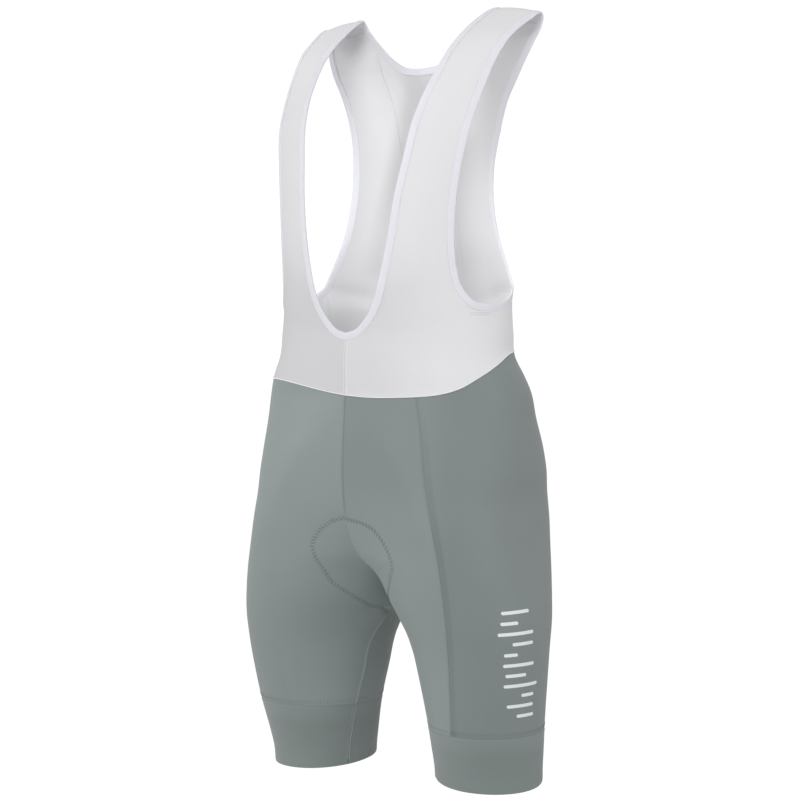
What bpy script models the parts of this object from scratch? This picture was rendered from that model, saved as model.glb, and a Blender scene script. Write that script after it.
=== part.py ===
"""Cycling bib shorts, filled out as if worn, with no wearer.

White knit bib with bound neck and armholes, grey-green stretch shorts with side panels and leg bands,
and a seat pad inside. Every height is a drop below the strap tops, every wall is open cloth with a
thickness, and the pieces are the ones a maker cuts, a seam's gap apart. The wearer's left is +X and
the front is -Y. The origin lies between the two straps, where the shoulders carry the garment.
"""

import math

import bpy
import numpy as np

MM = 0.001
WALL = 1.2 * MM  # knit and stretch cloth
SEAM_GAP = 0.3 * MM
SHARE_GAP = 0.0007  # half a lengthways seam's gap, as a share of the half girth
BINDING_GAP = 0.4 * MM
BINDING_WIDTH = 8 * MM
BINDING_WALL = 2 * MM
BINDING_PROUD = 0.4 * MM  # how far the folded binding stands over the cloth beside it
PAD_CLEAR = 1.4 * MM  # at its stitched edge; the middle stands further off the crotch seams
PAD_LIFT = 3 * MM
PAD_WALL = 6 * MM
SHOULDER_Y = 80 * MM  # the strap tops lie this far behind the torso's axis
CROTCH_DROP = 706.5 * MM
WAIST_DROP = 440 * MM  # about where the waist seam lies; the rows under it ease to the level drop
LEVEL_DROP = 500 * MM  # from here down every ring of the shorts is level
ROUND_FROM = 620 * MM  # from here down the girth rounds in towards the inner thigh
FRONT_STRAP_FROM = 160 * MM  # above these the straps leave the form of the chest and of the back
BACK_STRAP_FROM = 45 * MM
STRAP_BULGE = 2.4 * MM  # how far a strap's middle stands out past the lines of its bindings
STRAP_TILT = 0.24  # and the slope that its bindings take
BACK_FLAT_TO = 300 * MM  # the back spans straight between the armholes down to here
BACK_ROUND_FROM = 370 * MM
BACK_WAIST = 400 * MM  # the waist seam at the back
SIDE_BACK_FROM, SIDE_BACK_TOP = 300 * MM, 326.5 * MM  # the armhole's edge gives way to the side back seam
SIDE_BACK_SHARE = 0.635  # the seam between the bib's front and its back side piece

# The rings of the body, in mm: where the left half of each runs furthest to the front, the outer side
# and the back. Above the hips both the front and the back point lie on the middle plane.
RING_COLUMNS = ("drop", "front_x", "front_y", "outer_x", "outer_y", "back_x", "back_y")
RINGS = (
    (130, 0, -82, 154.6, 5, 0, 80),
    (190, 0, -100.7, 152.2, 5, 0, 88),
    (250, 0, -111, 144.3, 5, 0, 97),
    (310, 0, -112.2, 139.9, 5, 0, 110),
    (350, 0, -108, 140.5, 5, 0, 112.5),
    (381, 0, -104.5, 144.2, 6, 0, 112.5),
    (410, 0, -106.5, 147.5, 6, 0, 113),
    (430, 0, -106.8, 157.7, 9.5, 0, 115.5),
    (450, 0, -106.8, 164.9, 15, 0, 120),
    (480, 20, -110.5, 167.1, 18.4, 20, 132),
    (510, 45, -113.5, 169.5, 23.6, 45, 143),
    (540, 66, -114.5, 170.5, 24.9, 66, 150),
    (570, 82, -114, 169.3, 21.2, 82, 152),
    (600, 93, -111.5, 172.5, 13.2, 93, 150),
    (630, 101, -105.5, 176.5, 1, 101, 145),
    (660, 106, -99.5, 182.5, -5, 104, 137),
    (690, 109, -92.5, 188, -7, 104, 128),
    (713, 112, -86, 191, -7, 103, 121),
    (746.5, 117.3, -76, 191.3, -3, 100, 108),
    (786.5, 119.8, -66, 188, 3, 103, 100),
    (826.5, 118.9, -55.2, 184, 10.5, 107.9, 92.4),
    (866.5, 116, -42, 179.4, 21, 111.7, 88.5),
    (886.5, 114, -37.3, 176.8, 25, 113.6, 88.7),
    (910, 113.7, -35, 176, 27, 113.7, 89.5),
)
# The middle seam of the shorts, in mm, down the front to the crotch and up the back.
RISE_FROM = 450 * MM  # above this the seam lies on the rings
RISE_COLUMNS = ("drop", "y")
FRONT_RISE = (
    (430, -106.8), (450, -106.8), (502, -111.1), (544, -112.2), (583, -107.1), (603, -100.8),
    (616, -94.5), (641, -73.2), (657, -45), (677, -12), (697, 20), (703.5, 29), (706.5, 36),
)
BACK_RISE = (
    (430, 115.5), (450, 120), (500, 131.5), (556, 138), (596, 131), (636, 115), (671, 90),
    (696, 60), (703.5, 46), (706.5, 36),
)
# The inseam, in mm: how far each leg's inner side stands from the middle plane.
INSEAM_COLUMNS = ("drop", "x", "y")
INSEAM = (
    (706.5, 0, 36), (708, 5, 36), (713, 11, 35), (726.5, 20, 31), (746.5, 27.5, 27), (786.5, 36, 26),
    (826.5, 43.4, 24.4), (866.5, 48.3, 25.5), (886.5, 50.8, 26), (910, 51.3, 27),
)
# The waist seam, in mm: its drop at shares of the half girth, front to back, on each side.
WAIST_COLUMNS = ("share", "left", "right")
WAIST = (
    (0, 451.5, 451.5), (0.065, 453.5, 447.5), (0.13, 453.5, 443), (0.19, 452.5, 439.5), (0.25, 450, 437),
    (0.31, 443, 436), (0.36, 433, 436), (0.41, 423.5, 433), (0.46, 415, 423), (0.51, 407, 412),
    (0.62, 403, 404), (0.8, 399, 399), (1, 397, 397),
)
# The edge of the neckline on the left, from the front middle over the strap to the back middle, as drop,
# x and y in mm.
NECK_EDGE = (
    (381.1, 0, -104.5), (377.5, 12, -104.3), (366.5, 24, -104), (346.5, 36.8, -104.6),
    (326.5, 43.3, -105.7), (306.5, 48, -105.1), (266.5, 55.4, -102.7), (226.5, 60.5, -98.8),
    (186.5, 66.3, -90.1), (146.5, 71.8, -80.1), (106.5, 77.6, -58.8), (86.5, 80.3, -43.1),
    (66.5, 82, -26), (46.5, 83.8, -4), (26.5, 85.5, 25), (12, 87.5, 50), (2.5, 89, 70),
    (0, 90.5, 79), (4, 90.5, 84.5), (11, 87, 86), (24.5, 74, 81), (37, 60.8, 77), (52.5, 41.8, 71.5),
    (63, 22, 65.5), (66.5, 0, 61.5),
)
# The edge of the left armhole, the same way, from the side back seam forward, over the strap and down
# the back.
ARM_EDGE = (
    (326.5, 131, 51), (338, 136.5, 34), (345.5, 139.5, 11), (348.5, 137, -16), (345.5, 129, -39),
    (326.5, 119.5, -54.3), (306.5, 116.7, -59.6), (286.5, 115.9, -62.1), (266.5, 116.2, -63),
    (226.5, 118.6, -61.8), (186.5, 123.4, -56.8), (146.5, 129.6, -47.6), (106.5, 134.2, -27.5),
    (66.5, 138.5, -1), (46.5, 141.8, 17.3), (26.5, 146, 46), (17.5, 149.5, 62), (10.5, 151.5, 75),
    (9.5, 152, 81), (14.5, 151.5, 86), (22, 149.5, 86.5), (43, 142, 80), (66.5, 132, 75),
    (86.5, 122.2, 74.1), (106.5, 113.3, 72.2), (146.5, 102.7, 70.9), (186.5, 97.6, 65.5),
    (226.5, 99.1, 61.5), (266.5, 107.2, 58.5), (306.5, 122.6, 54.2), (326.5, 131, 51),
)
# The princess seam of the back, in mm.
PRINCESS_COLUMNS = ("drop", "x")
PRINCESS = ((46.5, 69), (87, 51), (155, 39.5), (260, 36), (400, 38))
# The seams of the side panel, in mm: their distances from the middle plane at the front and at the back.
SIDE_COLUMNS = ("drop", "front_x", "back_x")
SIDE_SEAMS = (
    (440, 82, 118), (458, 86, 118), (495, 94.7, 120), (537, 102.5, 123), (579, 110, 126), (621, 116.5, 128),
    (660, 119.5, 129), (700, 119.8, 129), (764, 114.9, 126), (809, 110.3, 123), (840, 105.5, 120),
)
# How far the inseam lies round towards the front of the leg, as a share of its girth.
ROUND_COLUMNS = ("drop", "share")
INSEAM_ROUND = ((706.5, 0), (714, 0.025), (735, 0.047), (784, 0.06), (827, 0.071), (868, 0.085), (910, 0.088))

BAND_TOP = {1: 838.5 * MM, -1: 824.5 * MM}  # seam over the left and the right leg band
HEM_COLUMNS = ("share", "drop")
HEM = ((0, 896), (0.25, 904), (0.5, 904), (0.75, 891), (1, 896))

# The seat pad in rows from the middle seam to its edge: the drop at the seam, the edge's share of the
# half girth and the edge's drop, with drops in mm. Shares count from the front seam in the first rows and
# from the back seam in the others.
PAD_FRONT = (
    (591, 0.022, 592.5), (600, 0.062, 602), (611, 0.085, 614), (623, 0.097, 628), (640, 0.100, 645),
    (657, 0.110, 662), (677, 0.112, 681), (692, 0.095, 695), (702, 0.055, 705), (706.5, 0.012, 709.5),
)
PAD_BACK = (
    (702, 0.050, 704.5), (690, 0.090, 694), (670, 0.120, 673), (640, 0.130, 642), (605, 0.125, 606),
    (575, 0.100, 576), (560, 0.035, 561),
)
# The middle of the bib's back, in mm.
BACK_MIDDLE = (
    (66.5, 61.5), (110, 77), (150, 83), (190, 88), (230, 94), (270, 100), (310, 110), (350, 112.5),
    (410, 113),
)

SHOULDER_ARM, SHOULDER_NECK = 20, 19  # the row of each edge's table at the shoulder seam
PRINCESS_ARM = 22.2  # the armhole's place level with the top of the princess seam
PRINCESS_PLACES = (20.5, 22.5)  # that top lies between these places of the neckline
NECK_MIDDLE = len(NECK_EDGE) - 1
# The rows of the bib's front start at places on the armhole. The first ones run to shares of a level line
# under the neckline, and the others to places on the neckline.
FRONT_FAN = (
    (0, 0.635), (0.65, 0.5831), (1.35, 0.5184), (1.93, 0.4537), (2.45, 0.389), (2.87, 0.3243),
    (3.19, 0.2596), (3.45, 0.194), (3.6, 0.1513), (3.72, 0.1132), (3.8, 0.0794), (3.85, 0.0504),
    (3.88, 0.0267),
)
FRONT_STRAP = (
    (3.9, 0), (4.25, 0.6), (4.6, 1.2), (5.1, 2), (5.7, 2.6), (6.3, 3.2), (7, 3.9), (7.7, 4.6), (8.4, 5.4),
    (9, 6.1), (9.6, 6.9), (10.3, 7.9), (11, 9), (11.5, 9.5), (12, 10), (12.5, 11), (13, 12), (13.5, 12.5),
    (14, 13), (14.5, 13.5), (15, 14), (15.5, 14.6), (16, 15), (17, 16), (18, 17), (19, 18), (19.5, 18.5),
    (19.96, 18.96),
)
# The rows of the back side piece over the strap: places on both edges and steps to the next.
BACK_STRAP = ((20.04, 19.04, 2), (21, 20, 2))
# And below: places on the armhole, drops on the princess seam in mm, and steps.
BACK_RUNGS = (
    (PRINCESS_ARM, 55, 1), (23, 72, 2), (24, 100, 1), (25, 145, 1), (26, 185, 1), (27, 227, 1), (28, 270, 1),
    (29, 310, 1), (29.98, 345, 0),
)
# The levels of the shorts' rows, in mm.
SHORTS_LEVELS = (
    500, 540, 580, 612, 638, 660, 678, 691, 700, 706.5, 710, 717, 729, 747, 772, 802,
)
WAIST_ROWS = 2
BELOW_ARMHOLE = (0.33, 0.67, 1)  # the rows of the back from the armhole's end to the waist seam
FRONT_COLUMNS, BACK_COLUMNS, LOWER_ROWS = 4, 4, 3
PANEL_COLUMNS = {"front": 7, "side": 8, "back": 8}
CROWDING = 1.6  # how much the columns crowd to the middle seam and the inseam, where the cloth turns most
CENTRE_COLUMNS = 9
BAND_COLUMNS, BAND_ROWS = 24, 4
PAD_ACROSS = 9
SIDES = {1: "left", -1: "right"}


def table(rows, columns):
    """A table's columns by name, in metres where they are lengths."""
    values = np.array(rows, float)
    return {
        name: values[:, i] * (1 if name == "share" else MM)
        for i, name in enumerate(columns)
    }


def smooth(known, values, at):
    """A smooth curve through the table's rows, read at each place."""
    known, values, at = (np.asarray(v, float) for v in (known, values, at))
    step = np.diff(known)
    slope = np.diff(values) / step
    ends = np.empty(len(known))
    ends[0], ends[-1] = slope[0], slope[-1]
    ends[1:-1] = (slope[:-1] * step[1:] + slope[1:] * step[:-1]) / (step[:-1] + step[1:])
    k = np.clip(np.searchsorted(known, at) - 1, 0, len(step) - 1)
    t = np.clip((at - known[k]) / step[k], 0, 1)
    rise = step[k] * (t * (1 - t) ** 2 * ends[k] - t**2 * (1 - t) * ends[k + 1])
    return (1 - t) ** 2 * (1 + 2 * t) * values[k] + t**2 * (3 - 2 * t) * values[k + 1] + rise


def ease(value, low, high):
    """0 below low, 1 above high, and smooth between them."""
    t = np.clip((np.asarray(value, float) - low) / (high - low), 0, 1)
    return t * t * (3 - 2 * t)


RING = table(RINGS, RING_COLUMNS)
RING_STEPS = 32


def half_girth(drop):
    """The left half of the ring at each drop: its points from the front seam to the back seam."""
    ring = {name: smooth(RING["drop"], RING[name], drop)[:, None] for name in RING_COLUMNS[1:]}
    seam = {}
    inseam = table(INSEAM, INSEAM_COLUMNS)
    above = drop < CROTCH_DROP
    for side, rows in (("front", FRONT_RISE), ("back", BACK_RISE)):
        rise = table(rows, RISE_COLUMNS)
        y = np.where(drop < RISE_FROM, ring[side + "_y"][:, 0], smooth(rise["drop"], rise["y"], drop))
        seam[side] = np.where(above, y, smooth(inseam["drop"], inseam["y"], drop))[:, None]
    inner_x = np.where(above, 0, smooth(inseam["drop"], inseam["x"], drop))[:, None]
    fx, bx = (np.maximum(ring[name], 0) for name in ("front_x", "back_x"))
    roundness = ease(drop, ROUND_FROM, CROTCH_DROP)[:, None]
    t = np.linspace(0, 1, RING_STEPS)[None, :]
    across = (1 - roundness) * t + roundness * np.sin(t * math.pi / 2)
    along = (1 - roundness) * t**2 + roundness * (1 - np.cos(t * math.pi / 2))
    quarter = t[:, 1:] * math.pi / 2
    x = np.hstack((
        (fx + (inner_x - fx) * across)[:, ::-1],
        fx + (ring["outer_x"] - fx) * np.sin(quarter),
        bx + (ring["outer_x"] - bx) * np.cos(quarter),
        (bx + (inner_x - bx) * across)[:, 1:],
    ))
    y = np.hstack((
        (ring["front_y"] + (seam["front"] - ring["front_y"]) * along)[:, ::-1],
        ring["outer_y"] + (ring["front_y"] - ring["outer_y"]) * np.cos(quarter),
        ring["outer_y"] + (ring["back_y"] - ring["outer_y"]) * np.sin(quarter),
        (ring["back_y"] + (seam["back"] - ring["back_y"]) * along)[:, 1:],
    ))
    return x, y


def skin(share, drop):
    """Points of the body's form at shares of the half girth, front to back, and drops."""
    share, drop = np.broadcast_arrays(np.asarray(share, float), np.asarray(drop, float))
    x, y = half_girth(drop.ravel())
    length = np.hstack((np.zeros((len(x), 1)), np.cumsum(np.hypot(np.diff(x), np.diff(y)), axis=1)))
    # Round a leg the shares run on past the inseam.
    turned = np.where((share.ravel() > 1) & (drop.ravel() > CROTCH_DROP), share.ravel() - 1, share.ravel())
    place = np.clip(turned, 0, 1)[:, None] * length[:, -1:]
    k = np.clip((length < place).sum(axis=1) - 1, 0, x.shape[1] - 2)
    row = np.arange(len(x))
    t = (place[:, 0] - length[row, k]) / np.maximum(length[row, k + 1] - length[row, k], 1e-9)
    points = np.stack((
        x[row, k] + (x[row, k + 1] - x[row, k]) * t,
        y[row, k] + (y[row, k + 1] - y[row, k]) * t,
        -drop.ravel(),
    ), axis=1)
    return points.reshape(*share.shape, 3)


def share_of(points):
    """The share of the half girth nearest to each point of the bib."""
    x, y = half_girth(-points[:, 2])
    length = np.hstack((np.zeros((len(x), 1)), np.cumsum(np.hypot(np.diff(x), np.diff(y)), axis=1)))
    outer_x, outer_y, front_y, back_y = (
        smooth(RING["drop"], RING[name], -points[:, 2])[:, None]
        for name in ("outer_x", "outer_y", "front_y", "back_y")
    )

    def angle(px, py):
        depth = np.where(py < outer_y, outer_y - front_y, back_y - outer_y)
        return np.arctan2(px / outer_x, (outer_y - py) / depth)

    own, ring = angle(points[:, :1], points[:, 1:2]), angle(x, y)
    return np.array([
        np.interp(a[0], np.maximum.accumulate(r), n / n[-1]) for a, r, n in zip(own, ring, length)
    ])


def back_form(x, drop):
    """Points of the bib's back at distances from the middle plane and drops."""
    edge = np.array(ARM_EDGE[20:], float) * MM
    drop = np.asarray(drop, float)
    low = np.minimum(drop, SIDE_BACK_TOP)
    edge_x = smooth(edge[:, 0], edge[:, 1], low)
    edge_y = smooth(edge[:, 0], edge[:, 2], low)
    side = skin(np.full(drop.shape, SIDE_BACK_SHARE), np.maximum(drop, SIDE_BACK_FROM))
    past = ease(drop, SIDE_BACK_FROM, SIDE_BACK_TOP)
    edge_x, edge_y = edge_x + (side[..., 0] - edge_x) * past, edge_y + (side[..., 1] - edge_y) * past
    line = table(BACK_MIDDLE, RISE_COLUMNS)
    middle = smooth(line["drop"], line["y"], drop)
    flat = middle + (edge_y - middle) * (x / edge_x) ** 2
    outer_x, outer_y, back_y = (
        smooth(RING["drop"], RING[name], drop) for name in ("outer_x", "outer_y", "back_y")
    )
    ring = outer_y + (back_y - outer_y) * np.sqrt(np.clip(1 - (x / outer_x) ** 2, 0, 1))
    y = flat + (ring - flat) * ease(drop, BACK_FLAT_TO, BACK_ROUND_FROM)
    return np.stack((np.broadcast_to(x, y.shape), y, -drop), axis=-1)


def unit(vectors):
    return vectors / np.maximum(np.linalg.norm(vectors, axis=-1, keepdims=True), 1e-12)


def skin_normal(points):
    """The outward direction of the body's form at points of the bib."""
    share, drop = share_of(points), -points[:, 2]
    along = skin(share + 0.01, drop) - skin(share - 0.01, drop)
    down = skin(share, drop + 0.004) - skin(share, drop - 0.004)
    return unit(np.cross(down, along))


def back_normal(points):
    x, drop = points[:, 0], -points[:, 2]
    along = back_form(x + 0.004, drop) - back_form(x - 0.004, drop)
    down = back_form(x, drop + 0.004) - back_form(x, drop - 0.004)
    return unit(np.cross(along, down))


def edge(rows, places):
    """Points and directions of an edge at places counted in rows of its table."""
    rows = np.array(rows, float)
    knots = np.stack((rows[:, 1], rows[:, 2], -rows[:, 0]), axis=1) * MM
    run = np.concatenate(([0], np.cumsum(np.linalg.norm(np.diff(knots, axis=0), axis=1))))
    at = np.interp(places, np.arange(len(run)), run)
    points, ahead, behind = (
        np.stack([smooth(run, knots[:, i], np.clip(at + step, 0, run[-1])) for i in range(3)], axis=1)
        for step in (0, MM, -MM)
    )
    return points, unit(ahead - behind)


def bound_edges(arm_places, neck_places, width):
    """Both edges of the bib at matching places, moved a width into the cloth."""
    arm, arm_way = edge(ARM_EDGE, arm_places)
    neck, neck_way = edge(NECK_EDGE, neck_places)
    moved = []
    for points, way, places, last_front, turn in (
        (arm, arm_way, arm_places, SHOULDER_ARM, 1), (neck, neck_way, neck_places, SHOULDER_NECK, -1),
    ):
        strap = unit(np.cross(arm - neck, way))
        front = (np.asarray(places) <= last_front)[:, None]
        body = np.where(front, skin_normal(points), back_normal(points))
        low = np.where(front, FRONT_STRAP_FROM, BACK_STRAP_FROM)
        free = 1 - ease(-points[:, 2:], low / 2, low)
        inward = unit(np.cross(unit(body + (strap - body) * free), way) * turn)
        moved.append(points + unit(inward + strap * free * STRAP_TILT) * width)
    return *moved, arm_way + neck_way


def between(rows):
    """The places of a table's rows with each row's own number of steps up to the next."""
    places = [
        [a + (b - a) * i / steps for a, b in zip(here[:-1], there[:-1])]
        for here, there in zip(rows, rows[1:]) for steps in [here[-1]] for i in range(steps)
    ]
    return np.array(places + [list(rows[-1][:-1])])


def rows_over(start, end, way, columns, form, low):
    """Rows from one boundary to the other that follow the body, and hang straight at the straps."""
    t = np.linspace(0, 1, columns + 1)[None, :, None]
    straight = start[:, None] + (end - start)[:, None] * t
    out = unit(np.cross(start - end, way))[:, None]
    free = 1 - ease(-straight[..., 2:], low / 2, low)
    strap = straight + out * STRAP_BULGE * 4 * t * (1 - t)
    return form(start, end, t) + (strap - form(start, end, t)) * free


def front_rows(start, end, t):
    a, b = (np.stack((share_of(p), -p[:, 2]), axis=1)[:, None] for p in (start, end))
    place = a + (b - a) * t
    off = [p - skin(q[:, 0, 0], q[:, 0, 1]) for p, q in ((start, a), (end, b))]
    return skin(place[..., 0], place[..., 1]) + off[0][:, None] * (1 - t) + off[1][:, None] * t


def back_rows(start, end, t):
    place = start[:, None] + (end - start)[:, None] * t
    off = [p - back_form(p[:, 0], -p[:, 2]) for p in (start, end)]
    return back_form(place[..., 0], -place[..., 2]) + off[0][:, None] * (1 - t) + off[1][:, None] * t


def material(name, colour, roughness):
    made = bpy.data.materials.new(name)
    made.use_nodes = True
    shader = made.node_tree.nodes["Principled BSDF"]
    shader.inputs["Base Color"].default_value = (*colour, 1)
    shader.inputs["Roughness"].default_value = roughness
    shader.inputs["Metallic"].default_value = 0
    return made


def quads(ids):
    return [
        (ids[r][c], ids[r + 1][c], ids[r + 1][c + 1], ids[r][c + 1])
        for r in range(len(ids) - 1)
        for c in range(len(ids[0]) - 1)
    ]


def cloth(name, points, faces, look, side=1, wall=WALL, offset=-1):
    """A piece of cloth: its outer face, given a wall inwards. Side -1 is the right-hand twin."""
    points = points * (side, 1, 1) - (0, SHOULDER_Y, 0)
    mesh = bpy.data.meshes.new(name)
    mesh.from_pydata(points.tolist(), [], faces if side > 0 else [face[::-1] for face in faces])
    mesh.materials.append(look)
    mesh.shade_smooth()
    piece = bpy.data.objects.new(name, mesh)
    garment.objects.link(piece)
    solid = piece.modifiers.new("Wall", "SOLIDIFY")
    solid.thickness = wall
    solid.offset = offset


def grid_cloth(name, grid, look, closed=False, **more):
    """A piece whose outer face is rows of points, each row closed into a ring or not."""
    rows, columns = grid.shape[:2]
    ids = np.arange(rows * columns).reshape(rows, columns)
    if closed:
        ids = np.hstack((ids, ids[:, :1]))
    cloth(name, grid.reshape(-1, 3), quads(ids.tolist()), look, **more)


def waist_drop(share, side):
    waist = table(WAIST, WAIST_COLUMNS)
    return smooth(waist["share"], waist["left" if side > 0 else "right"], share)


def apart(points):
    """Half a seam's gap away from the middle plane."""
    return points + (SEAM_GAP / 2, 0, 0)


def bib_front(side):
    fan, strap = np.array(FRONT_FAN, float), np.array(FRONT_STRAP, float)
    fan[0] += (0.008, -SHARE_GAP)
    width = BINDING_WIDTH + BINDING_GAP
    arm, neck, way = bound_edges(strap[:, 0], strap[:, 1], width)
    under, _, under_way = bound_edges(fan[:, 0], np.zeros(len(fan)), width)
    line = -neck[0, 2]
    level = skin(fan[:, 1], line)
    start, end = np.vstack((under, arm)), np.vstack((level, neck))
    way = np.vstack((under_way, way))
    upper = rows_over(start, end, way, FRONT_COLUMNS, front_rows, FRONT_STRAP_FROM)
    share = np.append(fan[:, 1], 0)
    bottom = waist_drop(share, side) - SEAM_GAP / 2
    down = np.linspace(0, 1, LOWER_ROWS + 1)[1:, None]
    lower = skin(share, line + (bottom - line) * down)
    lower += (upper[: len(share), -1] - skin(share, line)) * (1 - down)[..., None]
    points = apart(np.vstack((upper.reshape(-1, 3), lower.reshape(-1, 3))))
    ids = np.arange(len(points))
    above = ids[: upper.shape[0] * upper.shape[1]].reshape(upper.shape[:2])
    below = np.vstack((above[: len(share), -1], ids[above.size :].reshape(lower.shape[:2])))
    # The upper rows run forward and up the strap, the lower ones down, so the lower faces are turned.
    faces = quads(above.tolist()) + [face[::-1] for face in quads(below.tolist())]
    cloth(f"bib_front_{SIDES[side]}", points, faces, WHITE_KNIT, side)


def princess_x(drop):
    seam = table(PRINCESS, PRINCESS_COLUMNS)
    return smooth(seam["drop"], seam["x"], drop)


def princess_top(width):
    """The place on the neckline where the princess seam starts, a binding's width in."""
    places = np.linspace(*PRINCESS_PLACES, 41)
    _, neck, _ = bound_edges(np.full(len(places), PRINCESS_ARM), places, width)
    return np.interp(0, princess_x(-neck[:, 2]) - neck[:, 0], places)


def waist_of_back(x, side):
    """The drop of the waist seam at distances from the middle plane, at the back."""
    level = np.full(np.shape(x), BACK_WAIST)
    share = share_of(back_form(x, level).reshape(-1, 3)).reshape(level.shape)
    return waist_drop(share, side) - SEAM_GAP / 2


def princess_drops(first, side):
    """The drops at which the rows of both back pieces meet the princess seam."""
    rungs = between(BACK_RUNGS)[1:, 1] * MM
    last = waist_of_back(np.array([princess_x(BACK_WAIST)]), side)[0]
    drops = np.append(rungs, rungs[-1] + (last - rungs[-1]) * np.array(BELOW_ARMHOLE))
    return first + (drops - BACK_RUNGS[0][1] * MM) * (last - first) / (last - BACK_RUNGS[0][1] * MM)


def bib_back_side(side):
    width = BINDING_WIDTH + BINDING_GAP
    top = princess_top(width)
    strap = between(BACK_STRAP + ((PRINCESS_ARM, top, 0),))
    rungs = between(BACK_RUNGS)[1:]
    arm, neck, way = bound_edges(strap[:, 0], strap[:, 1], width)
    side_arm, _, side_way = bound_edges(rungs[:, 0], np.full(len(rungs), top), width)
    seam = np.full(3, SIDE_BACK_SHARE + SHARE_GAP)
    low, last = waist_drop(seam, side) - SEAM_GAP / 2, -side_arm[-1, 2]
    start = np.vstack((arm, side_arm, skin(seam, last + (low - last) * BELOW_ARMHOLE)))
    drop = princess_drops(-neck[-1, 2], side)
    down = (drop + neck[-1, 2]) / (drop[-1] + neck[-1, 2])
    seam_edge = back_form(princess_x(drop) + SEAM_GAP / 2, drop)
    seam_edge += (neck[-1] - back_form(neck[-1, 0], -neck[-1, 2])) * (1 - ease(down, 0, 0.2))[:, None]
    end = np.vstack((neck, seam_edge))
    way = np.vstack((way, side_way, side_way[-3:]))
    rows = rows_over(start, end, way, BACK_COLUMNS, back_rows, BACK_STRAP_FROM)
    # The waist seam's last row follows the seam and not the chord between its ends.
    x = rows[-1, :, 0]
    rows[-1] = np.stack((x, rows[-1, :, 1], -waist_of_back(x, side)), axis=1)
    grid_cloth(f"bib_back_side_{SIDES[side]}", apart(rows), WHITE_KNIT, side=side)


def bib_back_centre():
    width = BINDING_WIDTH + BINDING_GAP
    across = np.linspace(-1, 1, CENTRE_COLUMNS)
    top = princess_top(width)
    places = NECK_MIDDLE - (NECK_MIDDLE - top) * np.abs(across)
    _, neck, _ = bound_edges(np.full(CENTRE_COLUMNS, PRINCESS_ARM), places, width)
    neck_drop = -neck[:, 2]
    side_drops = np.stack([np.append(neck_drop[0], princess_drops(neck_drop[0], side)) for side in (-1, 1)])
    down = (side_drops - neck_drop[0]) / (side_drops[:, -1:] - neck_drop[0])
    down = np.where(across > 0, down[1][:, None], down[0][:, None])
    edge_x = princess_x(BACK_WAIST) * np.abs(across)
    low = np.where(across > 0, waist_of_back(edge_x, 1), waist_of_back(edge_x, -1))
    drop = neck_drop + (low - neck_drop) * down
    first = neck[:, 0] / princess_x(neck_drop)
    part = first + (np.abs(across) - first) * ease(down, 0, 0.3)
    x = part * (princess_x(drop) - SEAM_GAP)
    points = back_form(x, drop)
    points += (neck - back_form(neck[:, 0], neck_drop)) * (1 - ease(down, 0, 0.2))[..., None]
    points[..., 0] *= np.sign(across)
    grid_cloth("bib_back_centre", points[:, ::-1], BACK_KNIT)


def binding(name, first_line, second_line, side=1):
    rows = np.stack((first_line, second_line))
    offset = -1 + 2 * BINDING_PROUD / BINDING_WALL
    grid_cloth(name, rows, BINDING_WHITE, closed=True, side=side, wall=BINDING_WALL, offset=offset)


def bindings():
    strap = np.array(FRONT_STRAP, float)
    top = princess_top(BINDING_WIDTH + BINDING_GAP)
    back = between(BACK_STRAP + ((PRINCESS_ARM, top, 0),))
    part = np.linspace(1, 0, CENTRE_COLUMNS // 2 + 1)
    centre = np.stack((np.full(len(part), PRINCESS_ARM), NECK_MIDDLE - (NECK_MIDDLE - top) * part), axis=1)
    half = np.vstack((strap, back[1:], centre[1:]))
    neck, inner = (bound_edges(half[:, 0], half[:, 1], width)[1] for width in (0, BINDING_WIDTH))
    whole = [np.vstack((p, (p * (-1, 1, 1))[-2:0:-1])) for p in (neck, inner)]
    binding("neck_binding", *whole)
    fan, rungs = np.array(FRONT_FAN, float), between(BACK_RUNGS)[1:-1]
    loop = np.vstack((
        np.stack((fan[:, 0], np.zeros(len(fan))), axis=1), strap, back[1:],
        np.stack((rungs[:, 0], np.full(len(rungs), top)), axis=1),
    ))
    arm, inner = (bound_edges(loop[:, 0], loop[:, 1], width)[0] for width in (0, BINDING_WIDTH))
    for side in SIDES:
        binding(f"armhole_binding_{SIDES[side]}", inner, arm, side)


def seam_share(name, drop):
    """The share of the half girth at which a lengthways seam crosses one level."""
    if name in ("inner_front", "inner_back"):
        inseam = table(INSEAM_ROUND, ROUND_COLUMNS)
        round_to = float(smooth(inseam["drop"], inseam["share"], drop)) if drop > CROTCH_DROP else 0
        return round_to + (name == "inner_back")
    seam = table(SIDE_SEAMS, SIDE_COLUMNS)
    x, y = (v[0] for v in half_girth(np.array([drop])))
    length = np.concatenate(([0], np.cumsum(np.hypot(np.diff(x), np.diff(y)))))
    outer = int(x.argmax())
    half = slice(0, outer + 1) if name == "front_x" else slice(len(x) - 1, outer - 1, -1)
    return np.interp(smooth(seam["drop"], seam[name], drop), x[half], length[half]) / length[-1]


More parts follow.
